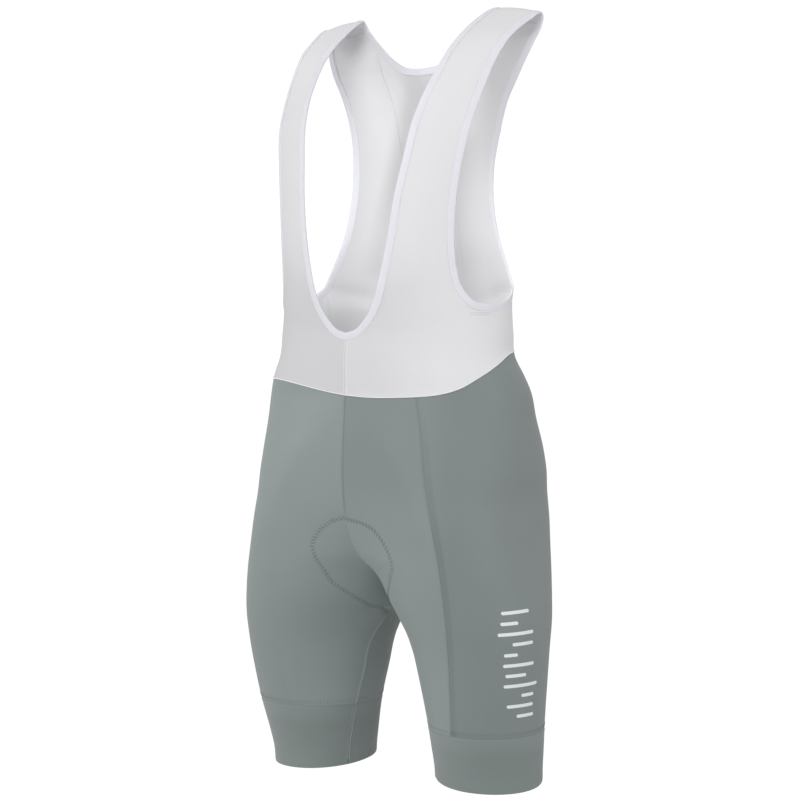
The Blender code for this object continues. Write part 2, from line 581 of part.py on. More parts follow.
def shorts(side):
    """The three panels of one half of the shorts, from the waist seam to the leg band."""
    bottom = BAND_TOP[side] - SEAM_GAP
    levels = np.append(np.array(SHORTS_LEVELS) * MM, bottom)
    ease_over = LEVEL_DROP - WAIST_DROP
    nominal = np.append(WAIST_DROP + ease_over * np.arange(WAIST_ROWS) / WAIST_ROWS, levels)
    for name, start, end in (
        ("front", "inner_front", "front_x"), ("side", "front_x", "back_x"), ("back", "back_x", "inner_back"),
    ):
        t = np.linspace(0, 1, PANEL_COLUMNS[name] + 1)
        t = {"front": t**CROWDING, "side": t, "back": 1 - (1 - t) ** CROWDING}[name]
        rows = []
        for drop in nominal:
            first, last = seam_share(start, drop) + SHARE_GAP, seam_share(end, drop) - SHARE_GAP
            share = first + (last - first) * t
            high = waist_drop(share, side) + SEAM_GAP / 2
            eased = high + (LEVEL_DROP - high) * (drop - WAIST_DROP) / ease_over
            rows.append(skin(share, eased if drop < LEVEL_DROP else drop))
        grid_cloth(f"shorts_{name}_{SIDES[side]}", apart(np.stack(rows)), STRETCH_CLOTH, side=side)


def leg_band(side):
    share = np.arange(BAND_COLUMNS) / BAND_COLUMNS
    hem = table(HEM, HEM_COLUMNS)
    top = BAND_TOP[side] + SEAM_GAP / 2
    low = smooth(hem["share"], hem["drop"], share)
    rows = apart(skin(share, top + (low - top) * np.linspace(0, 1, BAND_ROWS)[:, None]))
    grid_cloth(f"leg_band_{SIDES[side]}", rows, BAND_CLOTH, closed=True, side=side)


def seat_pad():
    across = np.linspace(-1, 1, PAD_ACROSS)
    part = np.abs(across)
    rows = []
    for table_rows, back in ((PAD_FRONT, False), (PAD_BACK, True)):
        for rise, share, drop in table_rows:
            place = 1 - part * share if back else part * share
            level = (rise + (drop - rise) * part) * MM
            along = skin(place + 0.004, level) - skin(place - 0.004, level)
            down = skin(place, level + 0.003) - skin(place, level - 0.003)
            out = unit(np.cross(down, along))
            out[part == 0, 0] = 0
            clear = WALL + PAD_CLEAR + PAD_LIFT * (1 - part[:, None] ** 2)
            points = skin(place, level) - unit(out) * clear
            points[:, 0] *= np.sign(across)
            rows.append(points)
    grid_cloth("seat_pad", np.stack(rows), PAD_FOAM, wall=PAD_WALL)


for stale in list(bpy.data.objects):
    bpy.data.objects.remove(stale)
garment = bpy.data.collections.new("cycling bib shorts")
bpy.context.scene.collection.children.link(garment)
WHITE_KNIT = material("white knit", (0.76, 0.76, 0.78), 0.85)
BACK_KNIT = material("white back knit", (0.72, 0.72, 0.74), 0.85)
BINDING_WHITE = material("white binding", (0.78, 0.79, 0.86), 0.6)
STRETCH_CLOTH = material("grey-green stretch cloth", (0.23, 0.27, 0.26), 0.55)
BAND_CLOTH = material("grey-green leg band", (0.24, 0.28, 0.27), 0.5)
PAD_FOAM = material("pad fleece", (0.25, 0.26, 0.27), 0.9)

for half in SIDES:
    bib_front(half)
    bib_back_side(half)
    shorts(half)
    leg_band(half)
bib_back_centre()
bindings()
seat_pad()
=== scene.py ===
"""Cycling bib shorts, filled out as if worn: their cloth, bindings, seams and stitches.

Heights are drops below the strap tops, and places round the body are shares of its half girth, from the
middle of the front to the middle of the back. The wearer's left is +X and the front is -Y.
"""

import math

import bpy
import numpy as np
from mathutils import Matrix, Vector


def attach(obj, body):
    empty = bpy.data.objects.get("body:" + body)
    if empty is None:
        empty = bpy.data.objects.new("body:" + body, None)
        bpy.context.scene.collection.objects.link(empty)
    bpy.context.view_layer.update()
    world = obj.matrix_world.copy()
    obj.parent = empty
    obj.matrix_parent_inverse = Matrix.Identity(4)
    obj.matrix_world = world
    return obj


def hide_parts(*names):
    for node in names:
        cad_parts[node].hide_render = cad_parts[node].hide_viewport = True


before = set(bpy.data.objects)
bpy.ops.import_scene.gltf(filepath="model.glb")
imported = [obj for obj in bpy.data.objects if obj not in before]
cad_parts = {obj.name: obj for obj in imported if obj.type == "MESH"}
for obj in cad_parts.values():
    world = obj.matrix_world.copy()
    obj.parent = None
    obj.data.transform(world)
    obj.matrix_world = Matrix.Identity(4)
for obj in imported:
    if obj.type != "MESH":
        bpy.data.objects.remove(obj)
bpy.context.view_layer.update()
bpy.ops.object.select_all(action="DESELECT")


# ---- Bib front ---------------------------------------------------------------------------------------
# Two halves of fine white knit, joined by a seam down the middle of the chest. Each is cut in one with
# its wide shoulder strap and with the part that runs under the arm, as far as the seam at the side back.

MM = 0.001
SHOULDER_Y = 80 * MM  # the strap tops lie this far behind the torso's axis
KNIT_WALL = 0.8 * MM
CROTCH_DROP = 706.5 * MM
ROUND_FROM = 620 * MM  # from here down the girth rounds in towards the inner thigh
FRONT_STRAP_FROM = 160 * MM  # above these the straps leave the form of the chest and of the back
BACK_STRAP_FROM = 45 * MM
STRAP_BULGE = 2.4 * MM  # how far a strap's middle stands out past the lines of its bindings
STRAP_TILT = 0.24  # and the slope that its bindings take
BACK_FLAT_TO = 300 * MM  # the back spans straight between the armholes down to here
BACK_ROUND_FROM = 370 * MM
BACK_WAIST = 400 * MM  # the waist seam at the back
SIDE_BACK_FROM, SIDE_BACK_TOP = 300 * MM, 326.5 * MM  # the armhole's edge gives way to the side back seam
SIDE_BACK_SHARE = 0.635  # the seam between the bib's front and its back side piece
SIDE_BACK_FADE = 25 * MM  # below the armhole that seam comes onto the form within this
CLOTH_UNDER_BINDING = 3 * MM  # how far inside its bound edges the cloth ends
SEAM_ROLL, SEAM_REACH = 0.45 * MM, 1.3 * MM  # how deep a sewn edge turns in, and over what width

# The rings of the body, in mm: where the left half of each runs furthest to the front, the outer side
# and the back. Above the hips both the front and the back point lie on the middle plane.
RING_COLUMNS = ("drop", "front_x", "front_y", "outer_x", "outer_y", "back_x", "back_y")
RINGS = (
    (130, 0, -82, 154.6, 5, 0, 80),
    (190, 0, -100.7, 152.2, 5, 0, 88),
    (250, 0, -111, 144.3, 5, 0, 97),
    (310, 0, -112.2, 139.9, 5, 0, 110),
    (350, 0, -108, 140.5, 5, 0, 112.5),
    (381, 0, -104.5, 144.2, 6, 0, 112.5),
    (410, 0, -106.5, 147.5, 6, 0, 113),
    (430, 0, -106.8, 157.7, 9.5, 0, 115.5),
    (450, 0, -106.8, 164.9, 15, 0, 120),
    (480, 20, -110.5, 167.1, 18.4, 20, 132),
    (510, 45, -113.5, 169.5, 23.6, 45, 143),
    (540, 66, -114.5, 170.5, 24.9, 66, 150),
    (570, 82, -114, 169.3, 21.2, 82, 152),
    (600, 93, -111.5, 172.5, 13.2, 93, 150),
    (630, 101, -105.5, 176.5, 1, 101, 145),
    (660, 106, -99.5, 182.5, -5, 104, 137),
    (690, 109, -92.5, 188, -7, 104, 128),
    (713, 112, -86, 191, -7, 103, 121),
    (746.5, 117.3, -76, 191.3, -3, 100, 108),
    (786.5, 119.8, -66, 188, 3, 103, 100),
    (826.5, 118.9, -55.2, 184, 10.5, 107.9, 92.4),
    (866.5, 116, -42, 179.4, 21, 111.7, 88.5),
    (886.5, 114, -37.3, 176.8, 25, 113.6, 88.7),
    (910, 113.7, -35, 176, 27, 113.7, 89.5),
)
# The middle seam of the shorts, in mm, down the front to the crotch and up the back.
RISE_FROM = 450 * MM  # above this the seam lies on the rings
RISE_COLUMNS = ("drop", "y")
FRONT_RISE = (
    (430, -106.8), (450, -106.8), (502, -111.1), (544, -112.2), (583, -107.1), (603, -100.8),
    (616, -94.5), (641, -73.2), (657, -45), (677, -12), (697, 20), (703.5, 29), (706.5, 36),
)
BACK_RISE = (
    (430, 115.5), (450, 120), (500, 131.5), (556, 138), (596, 131), (636, 115), (671, 90),
    (696, 60), (703.5, 46), (706.5, 36),
)
# The inseam, in mm: how far each leg's inner side stands from the middle plane.
INSEAM_COLUMNS = ("drop", "x", "y")
INSEAM = (
    (706.5, 0, 36), (708, 5, 36), (713, 11, 35), (726.5, 20, 31), (746.5, 27.5, 27), (786.5, 36, 26),
    (826.5, 43.4, 24.4), (866.5, 48.3, 25.5), (886.5, 50.8, 26), (910, 51.3, 27),
)
# The waist seam, in mm: its drop at shares of the half girth, front to back, on each side.
WAIST_COLUMNS = ("share", "left", "right")
WAIST = (
    (0, 451.5, 451.5), (0.065, 453.5, 447.5), (0.13, 453.5, 443), (0.19, 452.5, 439.5), (0.25, 450, 437),
    (0.31, 443, 436), (0.36, 433, 436), (0.41, 423.5, 433), (0.46, 415, 423), (0.51, 407, 412),
    (0.62, 403, 404), (0.8, 399, 399), (1, 397, 397),
)
# The edge of the neckline on the left, from the front middle over the strap to the back middle, as drop,
# x and y in mm.
NECK_EDGE = (
    (381.1, 0, -104.5), (377.5, 12, -104.3), (366.5, 24, -104), (346.5, 36.8, -104.6),
    (326.5, 43.3, -105.7), (306.5, 48, -105.1), (266.5, 55.4, -102.7), (226.5, 60.5, -98.8),
    (186.5, 66.3, -90.1), (146.5, 71.8, -80.1), (106.5, 77.6, -58.8), (86.5, 80.3, -43.1),
    (66.5, 82, -26), (46.5, 83.8, -4), (26.5, 85.5, 25), (12, 87.5, 50), (2.5, 89, 70),
    (0, 90.5, 79), (4, 90.5, 84.5), (11, 87, 86), (24.5, 74, 81), (37, 60.8, 77), (52.5, 41.8, 71.5),
    (63, 22, 65.5), (66.5, 0, 61.5),
)
# The edge of the left armhole, the same way, from the side back seam forward, over the strap and down
# the back.
ARM_EDGE = (
    (326.5, 131, 51), (338, 136.5, 34), (345.5, 139.5, 11), (348.5, 137, -16), (345.5, 129, -39),
    (326.5, 119.5, -54.3), (306.5, 116.7, -59.6), (286.5, 115.9, -62.1), (266.5, 116.2, -63),
    (226.5, 118.6, -61.8), (186.5, 123.4, -56.8), (146.5, 129.6, -47.6), (106.5, 134.2, -27.5),
    (66.5, 138.5, -1), (46.5, 141.8, 17.3), (26.5, 146, 46), (17.5, 149.5, 62), (10.5, 151.5, 75),
    (9.5, 152, 81), (14.5, 151.5, 86), (22, 149.5, 86.5), (43, 142, 80), (66.5, 132, 75),
    (86.5, 122.2, 74.1), (106.5, 113.3, 72.2), (146.5, 102.7, 70.9), (186.5, 97.6, 65.5),
    (226.5, 99.1, 61.5), (266.5, 107.2, 58.5), (306.5, 122.6, 54.2), (326.5, 131, 51),
)
# The middle of the bib's back, in mm.
BACK_MIDDLE = (
    (66.5, 61.5), (110, 77), (150, 83), (190, 88), (230, 94), (270, 100), (310, 110), (350, 112.5),
    (410, 113),
)

SHOULDER_ARM, SHOULDER_NECK = 20, 19  # the row of each edge's table at the shoulder seam
# The lines across the bib's front start at places on the armhole. The first ones run to shares of a level
# line under the neckline, and the others to places on the neckline.
FRONT_FAN = (
    (0, 0.635), (0.65, 0.5831), (1.35, 0.5184), (1.93, 0.4537), (2.45, 0.389), (2.87, 0.3243),
    (3.19, 0.2596), (3.45, 0.194), (3.6, 0.1513), (3.72, 0.1132), (3.8, 0.0794), (3.85, 0.0504),
    (3.88, 0.0267),
)
FRONT_STRAP = (
    (3.9, 0), (4.25, 0.6), (4.6, 1.2), (5.1, 2), (5.7, 2.6), (6.3, 3.2), (7, 3.9), (7.7, 4.6), (8.4, 5.4),
    (9, 6.1), (9.6, 6.9), (10.3, 7.9), (11, 9), (11.5, 9.5), (12, 10), (12.5, 11), (13, 12), (13.5, 12.5),
    (14, 13), (14.5, 13.5), (15, 14), (15.5, 14.6), (16, 15), (17, 16), (18, 17), (19, 18), (19.5, 18.5),
    (20, 19),
)
SIDES = {1: "left", -1: "right"}


def table(rows, columns):
    """A table's columns by name, in metres where they are lengths."""
    values = np.array(rows, float)
    return {
        name: values[:, i] * (1 if name == "share" else MM)
        for i, name in enumerate(columns)
    }


def smooth(known, values, at):
    """A smooth curve through the table's rows, read at each place."""
    known, values, at = (np.asarray(v, float) for v in (known, values, at))
    step = np.diff(known)
    slope = np.diff(values) / step
    ends = np.empty(len(known))
    ends[0], ends[-1] = slope[0], slope[-1]
    ends[1:-1] = (slope[:-1] * step[1:] + slope[1:] * step[:-1]) / (step[:-1] + step[1:])
    k = np.clip(np.searchsorted(known, at) - 1, 0, len(step) - 1)
    t = np.clip((at - known[k]) / step[k], 0, 1)
    rise = step[k] * (t * (1 - t) ** 2 * ends[k] - t**2 * (1 - t) * ends[k + 1])
    return (1 - t) ** 2 * (1 + 2 * t) * values[k] + t**2 * (3 - 2 * t) * values[k + 1] + rise


def read(rows, columns, name, at):
    """One column of a table, smooth between its rows, at places in its first column."""
    values = table(rows, columns)
    return smooth(values[columns[0]], values[name], at)


def ease(value, low, high):
    """0 below low, 1 above high, and smooth between them."""
    t = np.clip((np.asarray(value, float) - low) / (high - low), 0, 1)
    return t * t * (3 - 2 * t)


RING = table(RINGS, RING_COLUMNS)
RING_STEPS = 96
END_BEND = 7  # the power of the bend at the crotch: the higher it is, the nearer to the seam
# Where the inner ends of the rings would lie without the point of the crotch, in mm: only the last part
# of each ring bends to the seam.
SOFT_COLUMNS = ("drop", "x", "front_y", "back_y")
SOFT_END = (
    (641, 0, -73.2, 112), (657, 0, -45, 101), (670, 0.4, -22, 90), (680, 1.5, -7, 79.5), (690, 4, 7, 66.5),
    (700, 8, 18, 54), (713, 13, 26, 42), (726.5, 20, 28.5, 33.5), (746.5, 27.5, 27, 27),
)


def run_of(points):
    """Distances along a line of points, from its first one."""
    return np.concatenate(([0], np.linalg.norm(np.diff(points, axis=0), axis=1).cumsum()))


def run_round(x, y):
    """Distances round each ring, from its first point."""
    return np.hstack((np.zeros((len(x), 1)), np.cumsum(np.hypot(np.diff(x), np.diff(y)), axis=1)))


def half_girth(drop):
    """The left half of the ring at each drop: its points from the front seam to the back seam."""
    ring = {name: smooth(RING["drop"], RING[name], drop)[:, None] for name in RING_COLUMNS[1:]}
    inseam, soft = table(INSEAM, INSEAM_COLUMNS), table(SOFT_END, SOFT_COLUMNS)
    above = drop < CROTCH_DROP
    near = (drop > soft["drop"][0]) & (drop < soft["drop"][-1])
    inner_x = np.where(above, 0, smooth(inseam["drop"], inseam["x"], drop))
    soft_x = np.where(near, smooth(soft["drop"], soft["x"], drop), inner_x)[:, None]
    fx, bx = (np.maximum(ring[name], 0) for name in ("front_x", "back_x"))
    roundness = ease(drop, ROUND_FROM, CROTCH_DROP)[:, None]
    t = np.linspace(0, 1, RING_STEPS)[None, :]
    across = (1 - roundness) * t + roundness * np.sin(t * math.pi / 2)
    along = (1 - roundness) * t**2 + roundness * (1 - np.cos(t * math.pi / 2))
    quarter = t[:, 1:] * math.pi / 2
    inner = {}
    for side, start, rows in (("front", fx, FRONT_RISE), ("back", bx, BACK_RISE)):
        rise = table(rows, RISE_COLUMNS)
        y = np.where(drop < RISE_FROM, ring[side + "_y"][:, 0], smooth(rise["drop"], rise["y"], drop))
        y = np.where(above, y, smooth(inseam["drop"], inseam["y"], drop))
        soft_y = np.where(near, smooth(soft["drop"], soft[side + "_y"], drop), y)[:, None]
        end = t**END_BEND
        inner[side] = (
            start + (soft_x - start) * across + (inner_x[:, None] - soft_x) * end,
            ring[side + "_y"] + (soft_y - ring[side + "_y"]) * along + (y[:, None] - soft_y) * end,
        )
    x = np.hstack((
        inner["front"][0][:, ::-1],
        fx + (ring["outer_x"] - fx) * np.sin(quarter),
        bx + (ring["outer_x"] - bx) * np.cos(quarter),
        inner["back"][0][:, 1:],
    ))
    y = np.hstack((
        inner["front"][1][:, ::-1],
        ring["outer_y"] + (ring["front_y"] - ring["outer_y"]) * np.cos(quarter),
        ring["outer_y"] + (ring["back_y"] - ring["outer_y"]) * np.sin(quarter),
        inner["back"][1][:, 1:],
    ))
    return x, y


def skin(share, drop):
    """Points of the body's form at shares of the half girth, front to back, and drops."""
    share, drop = np.broadcast_arrays(np.asarray(share, float), np.asarray(drop, float))
    levels, row = np.unique(drop.ravel(), return_inverse=True)
    x, y = half_girth(levels)
    length = run_round(x, y)
    # Round a leg the shares run on past the inseam.
    turned = np.where((share.ravel() > 1) & (drop.ravel() > CROTCH_DROP), share.ravel() - 1, share.ravel())
    place = np.clip(turned, 0, 1) * length[row, -1]
    k = np.clip((length[row] < place[:, None]).sum(axis=1) - 1, 0, x.shape[1] - 2)
    t = (place - length[row, k]) / np.maximum(length[row, k + 1] - length[row, k], 1e-9)
    points = np.stack((
        x[row, k] + (x[row, k + 1] - x[row, k]) * t,
        y[row, k] + (y[row, k + 1] - y[row, k]) * t,
        -drop.ravel(),
    ), axis=1)
    return points.reshape(*share.shape, 3)


def half_length(drop):
    """The length of the half girth at drops."""
    drop = np.asarray(drop, float)
    known = np.linspace(0.13, 0.91, 157)
    x, y = half_girth(known)
    return np.interp(drop, known, np.hypot(np.diff(x), np.diff(y)).sum(axis=1))


def share_of(points):
    """The share of the half girth nearest to each point of the bib."""
    x, y = half_girth(-points[:, 2])
    length = run_round(x, y)
    outer_x, outer_y, front_y, back_y = (
        smooth(RING["drop"], RING[name], -points[:, 2])[:, None]
        for name in ("outer_x", "outer_y", "front_y", "back_y")
    )

    def angle(px, py):
        depth = np.where(py < outer_y, outer_y - front_y, back_y - outer_y)
        return np.arctan2(px / outer_x, (outer_y - py) / depth)

    own, ring = angle(points[:, :1], points[:, 1:2]), angle(x, y)
    return np.array([
        np.interp(a[0], np.maximum.accumulate(r), n / n[-1]) for a, r, n in zip(own, ring, length)
    ])


def back_form(x, drop):
    """Points of the bib's back at distances from the middle plane and drops."""
    edge = np.array(ARM_EDGE[20:], float) * MM
    drop = np.asarray(drop, float)
    low = np.minimum(drop, SIDE_BACK_TOP)
    edge_x = smooth(edge[:, 0], edge[:, 1], low)
    edge_y = smooth(edge[:, 0], edge[:, 2], low)
    side = skin(np.full(drop.shape, SIDE_BACK_SHARE), np.maximum(drop, SIDE_BACK_FROM))
    past = ease(drop, SIDE_BACK_FROM, SIDE_BACK_TOP)
    edge_x, edge_y = edge_x + (side[..., 0] - edge_x) * past, edge_y + (side[..., 1] - edge_y) * past
    middle = read(BACK_MIDDLE, RISE_COLUMNS, "y", drop)
    flat = middle + (edge_y - middle) * (x / edge_x) ** 2
    outer_x, outer_y, back_y = (
        smooth(RING["drop"], RING[name], drop) for name in ("outer_x", "outer_y", "back_y")
    )
    ring = outer_y + (back_y - outer_y) * np.sqrt(np.clip(1 - (x / outer_x) ** 2, 0, 1))
    y = flat + (ring - flat) * ease(drop, BACK_FLAT_TO, BACK_ROUND_FROM)
    return np.stack((np.broadcast_to(x, y.shape), y, -drop), axis=-1)


def unit(vectors):
    return vectors / np.maximum(np.linalg.norm(vectors, axis=-1, keepdims=True), 1e-12)


def skin_normal(points):
    """The outward direction of the body's form at points of the bib."""
    share, drop = share_of(points), -points[:, 2]
    along = skin(share + 0.01, drop) - skin(share - 0.01, drop)
    down = skin(share, drop + 0.004) - skin(share, drop - 0.004)
    return unit(np.cross(down, along))


def back_normal(points):
    x, drop = points[:, 0], -points[:, 2]
    along = back_form(x + 0.004, drop) - back_form(x - 0.004, drop)
    down = back_form(x, drop + 0.004) - back_form(x, drop - 0.004)
    return unit(np.cross(along, down))


def edge(rows, places):
    """Points and directions of an edge at places counted in rows of its table."""
    rows = np.array(rows, float)
    knots = np.stack((rows[:, 1], rows[:, 2], -rows[:, 0]), axis=1) * MM
    run = run_of(knots)
    at = np.interp(places, np.arange(len(run)), run)
    points, ahead, behind = (
        np.stack([smooth(run, knots[:, i], np.clip(at + step, 0, run[-1])) for i in range(3)], axis=1)
        for step in (0, MM, -MM)
    )
    return points, unit(ahead - behind)


def bound_edges(arm_places, neck_places, width):
    """Both edges of the bib at matching places, moved a width into the cloth."""
    arm, arm_way = edge(ARM_EDGE, arm_places)
    neck, neck_way = edge(NECK_EDGE, neck_places)
    moved = []
    for points, way, places, last_front, turn in (
        (arm, arm_way, arm_places, SHOULDER_ARM, 1), (neck, neck_way, neck_places, SHOULDER_NECK, -1),
    ):
        strap = unit(np.cross(arm - neck, way))
        front = (np.asarray(places) <= last_front)[:, None]
        body = np.where(front, skin_normal(points), back_normal(points))
        low = np.where(front, FRONT_STRAP_FROM, BACK_STRAP_FROM)
        free = 1 - ease(-points[:, 2:], low / 2, low)
        inward = unit(np.cross(unit(body + (strap - body) * free), way) * turn)
        moved.append(points + unit(inward + strap * free * STRAP_TILT) * width)
    return *moved, arm_way + neck_way


def rows_over(start, end, way, columns, form, low):
    """Rows from one boundary to the other that follow the body, and hang straight at the straps."""
    t = np.linspace(0, 1, columns + 1)[None, :, None]
    straight = start[:, None] + (end - start)[:, None] * t
    out = unit(np.cross(start - end, way))[:, None]
    free = 1 - ease(-straight[..., 2:], low / 2, low)
    strap = straight + out * STRAP_BULGE * 4 * t * (1 - t)
    return form(start, end, t) + (strap - form(start, end, t)) * free


def front_rows(start, end, t):
    a, b = (np.stack((share_of(p), -p[:, 2]), axis=1)[:, None] for p in (start, end))
    place = a + (b - a) * t
    off = [p - skin(q[:, 0, 0], q[:, 0, 1]) for p, q in ((start, a), (end, b))]
    return skin(place[..., 0], place[..., 1]) + off[0][:, None] * (1 - t) + off[1][:, None] * t


def grid(points):
    """The numbers of points that stand in rows and columns."""
    return np.arange(points[..., 0].size).reshape(points.shape[:2])


def quads(ids):
    """The faces between points in rows and columns."""
    ids = ids.tolist()
    return [
        (ids[r][c], ids[r + 1][c], ids[r + 1][c + 1], ids[r][c + 1])
        for r in range(len(ids) - 1)
        for c in range(len(ids[0]) - 1)
    ]


def finer(rows, steps):
    """A table's rows with even steps put in between them."""
    rows = np.array(rows, float)
    at = np.linspace(0, len(rows) - 1, (len(rows) - 1) * steps + 1)
    return np.stack([np.interp(at, np.arange(len(rows)), column) for column in rows.T], axis=1)


def waist_drop(share, side):
    return read(WAIST, WAIST_COLUMNS, "left" if side > 0 else "right", share)


def roll(distance):
    """How far cloth turns in beside a seam, at distances from it."""
    return -SEAM_ROLL * np.exp(-((distance / SEAM_REACH) ** 2))


def near_seam(distance, reach):
    """A soft falloff at distances from a seam: it shapes raised lines, and sets painted shade beside seams.
    """
    return np.exp(-((distance / reach) ** 2))


def ridge(distance, away, width, height):
    """A raised line that runs beside a seam. All but the distance are in mm."""
    return height * MM * near_seam(distance - away * MM, width * MM)


def creases(uv, folds):
    """Soft troughs and ridges: each from one place on the cloth to another, with its width and height."""
    height = np.zeros(len(uv))
    for u0, v0, u1, v1, width, lift in folds:
        start, run = np.array((u0, v0)) * MM, np.array((u1 - u0, v1 - v0)) * MM
        t = np.clip((uv - start) @ run / (run @ run), 0, 1)
        away = np.linalg.norm(uv - start - t[:, None] * run, axis=1)
        height += lift * MM * np.sin(math.pi * np.clip(t, 0.02, 0.98)) * np.exp(-((away / width / MM) ** 2))
    return height


class Flow:
    """A socket in a material's nodes. Arithmetic on it adds Math nodes."""

    def __init__(self, tree, socket=None):
        self.tree, self.socket = tree, socket

    def node(self, kind, inputs=(), out=0, **settings):
        made = self.tree.nodes.new(kind)
        for name, value in settings.items():
            setattr(made, name, value)
        for key, value in dict(inputs).items():
            if isinstance(value, Flow):
                self.tree.links.new(value.socket, made.inputs[key])
            else:
                made.inputs[key].default_value = value
        return Flow(self.tree, made.outputs[out])

    def math(self, operation, *others):
        return self.node("ShaderNodeMath", enumerate((self, *others)), operation=operation)

    def waves(self, width):
        """Even ridges of a width."""
        return (self * (math.tau / width)).math("SINE")

    def mix(self, part, first, second):
        """A colour between two others."""
        inputs = {0: part, 6: first, 7: second}
        return self.node("ShaderNodeMix", inputs, out=2, data_type="RGBA")

    def __add__(self, other):
        return self.math("ADD", other)

    def __mul__(self, other):
        return self.math("MULTIPLY", other)

    def __sub__(self, other):
        return self.math("SUBTRACT", other)

    def __rsub__(self, other):
        return self.node("ShaderNodeMath", {0: other, 1: self}, operation="SUBTRACT")

    __radd__, __rmul__ = __add__, __mul__


def cloth_material(name, roughness, pattern, bump, sheen=0.0):
    """A knitted finish. The pattern gives its colour and thread height; painted shade on the mesh darkens it.
    """
    made = bpy.data.materials.new(name)
    made.use_nodes = True
    tree = made.node_tree
    shader = tree.nodes["Principled BSDF"]
    colour, height = pattern(Flow(tree))
    # Painted shade: the mesh's own value darkens the colour, by up to half.
    painted_shade = colour.node("ShaderNodeAttribute", out=2, attribute_name="painted_shade")
    colour = colour.mix(painted_shade, colour, colour.mix(0.5, colour, (0, 0, 0, 1)))
    relief = colour.node("ShaderNodeBump", {"Height": height, "Distance": bump})
    tree.links.new(colour.socket, shader.inputs["Base Color"])
    tree.links.new(relief.socket, shader.inputs["Normal"])
    shader.inputs["Roughness"].default_value = roughness
    shader.inputs["Specular IOR Level"].default_value = 0.3
    shader.inputs["Sheen Weight"].default_value = sheen
    return made


def threads_across(start):
    """The cloth's own directions, in mm: round the body, and down it."""
    place = start.node("ShaderNodeUVMap", uv_map="Cloth")
    split = start.node("ShaderNodeSeparateXYZ", {0: place})
    down = Flow(start.tree, split.socket.node.outputs[1])
    return split * (1 / MM), down * (1 / MM), place


def clouded(start, scale, low, high):
    """A slow change of tone over the cloth, from one colour to another."""
    place = start.node("ShaderNodeTexCoord", out=3)
    cloud = start.node("ShaderNodeTexNoise", {"Vector": place, "Scale": scale, "Detail": 3.0})
    return start.mix(cloud, (*low, 1), (*high, 1))


def knit_pattern(start):
    """Fine warp knit: narrow ribs that run down the body, crossed by rows of small holes."""
    across, down, _ = threads_across(start)
    ribs, rows = across.waves(1.3), down.waves(1.6)
    height = ribs * 0.6 + ribs * rows * 0.4
    tone = clouded(start, 26, (0.752, 0.752, 0.764), (0.784, 0.784, 0.794))
    return start.mix(ribs * rows * 0.5 + 0.5, (0.725, 0.725, 0.741, 1), tone), height


WHITE_KNIT = cloth_material("white knit", 0.85, knit_pattern, 0.05 * MM)


def patch(x, drop, middle, level, width, height):
    """A soft round patch of shade."""
    return np.exp(-(((x - middle) / width) ** 2) - ((drop - level) / height) ** 2)


def strap_shadow(points):
    """The shade painted on the inner face of the back, where the left strap's soft shadow lies."""
    x, drop = points[:, 0], -points[:, 2]
    left = -0.034 - (drop - 0.1) * 0.26
    behind = 0.45 * ease(x - left, -0.012, 0.014) * (1 - ease(x, 0.008, 0.058)) * ease(drop, 0.03, 0.12)
    behind *= (1 - 0.3 * ease(drop, 0.22, 0.30)) * (1 - ease(drop, 0.30, 0.33))
    lean = 0.005 * (1 - ease(drop, 0.165, 0.23))
    beside = 0.65 * ease(x, -0.02, 0.01) * (1 - ease(x - lean, 0.02, 0.08))
    beside *= ease(drop, 0.125, 0.165) * (1 - ease(drop, 0.35, 0.38))
    middle = 0.34 * patch(x, drop, -0.05, 0.19, 0.07, 0.07)
    far = 0.19 * patch(x, drop, -0.10, 0.255, 0.03, 0.048)
    return np.maximum(behind, beside) + middle + far


def placed(name, data):
    """A new object, put in the scene."""
    made = bpy.data.objects.new(name, data)
    bpy.context.scene.collection.objects.link(made)
    return made


def dress(mesh, look, uv, painted_shade):
    """The mesh's finish and, on cloth, its places on the cloth and its painted shade."""
    mesh.materials.append(look)
    mesh.shade_smooth()
    if uv is None:
        return
    corners = np.empty(len(mesh.loops), np.int32)
    mesh.loops.foreach_get("vertex_index", corners)
    layer = mesh.uv_layers.new(name="Cloth")
    layer.data.foreach_set("uv", uv.reshape(-1, 2)[corners].astype(np.float32).ravel())
    shade = mesh.attributes.new("painted_shade", "FLOAT", "POINT")
    values = np.broadcast_to(np.ravel(painted_shade), len(mesh.vertices))
    shade.data.foreach_set("value", values.astype(np.float32))


def cloth(
    name, points, faces, uv, look, side=1, wall=KNIT_WALL, relief=0, painted_shade=0, inside=None
):
    """A piece of cloth: its outer face, pressed in or out by its relief, with a thin wall inwards."""
    points = points.reshape(-1, 3) * (side, 1, 1) - (0, SHOULDER_Y, 0)
    mesh = bpy.data.meshes.new(name)
    mesh.from_pydata(points.tolist(), [], faces if side > 0 else [face[::-1] for face in faces])
    normals = np.empty(len(points) * 3, np.float32)
    mesh.vertex_normals.foreach_get("vector", normals)
    normals = normals.reshape(-1, 3)
    normals[np.abs(points[:, 0]) < 1e-6, 0] = 0
    moved = points + unit(normals) * np.reshape(relief, (-1, 1))
    mesh.vertices.foreach_set("co", moved.astype(np.float32).ravel())
    dress(mesh, look, uv, painted_shade)
    piece = placed(name, mesh)
    solid = piece.modifiers.new("Wall", "SOLIDIFY")
    solid.thickness, solid.offset, solid.use_quality_normals = wall, -1, True
    bpy.context.view_layer.objects.active = piece
    bpy.ops.object.modifier_apply(modifier=solid.name)
    # Painted shade for the inner face alone: its points follow the outer face's in the mesh.
    if inside:
        shade = piece.data.attributes["painted_shade"].data
        for place, value in enumerate(inside(points).tolist(), len(points)):
            shade[place].value = value
    piece.data.set_sharp_from_angle(angle=math.radians(55))
    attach(piece, "root")
    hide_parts(name)
    return piece


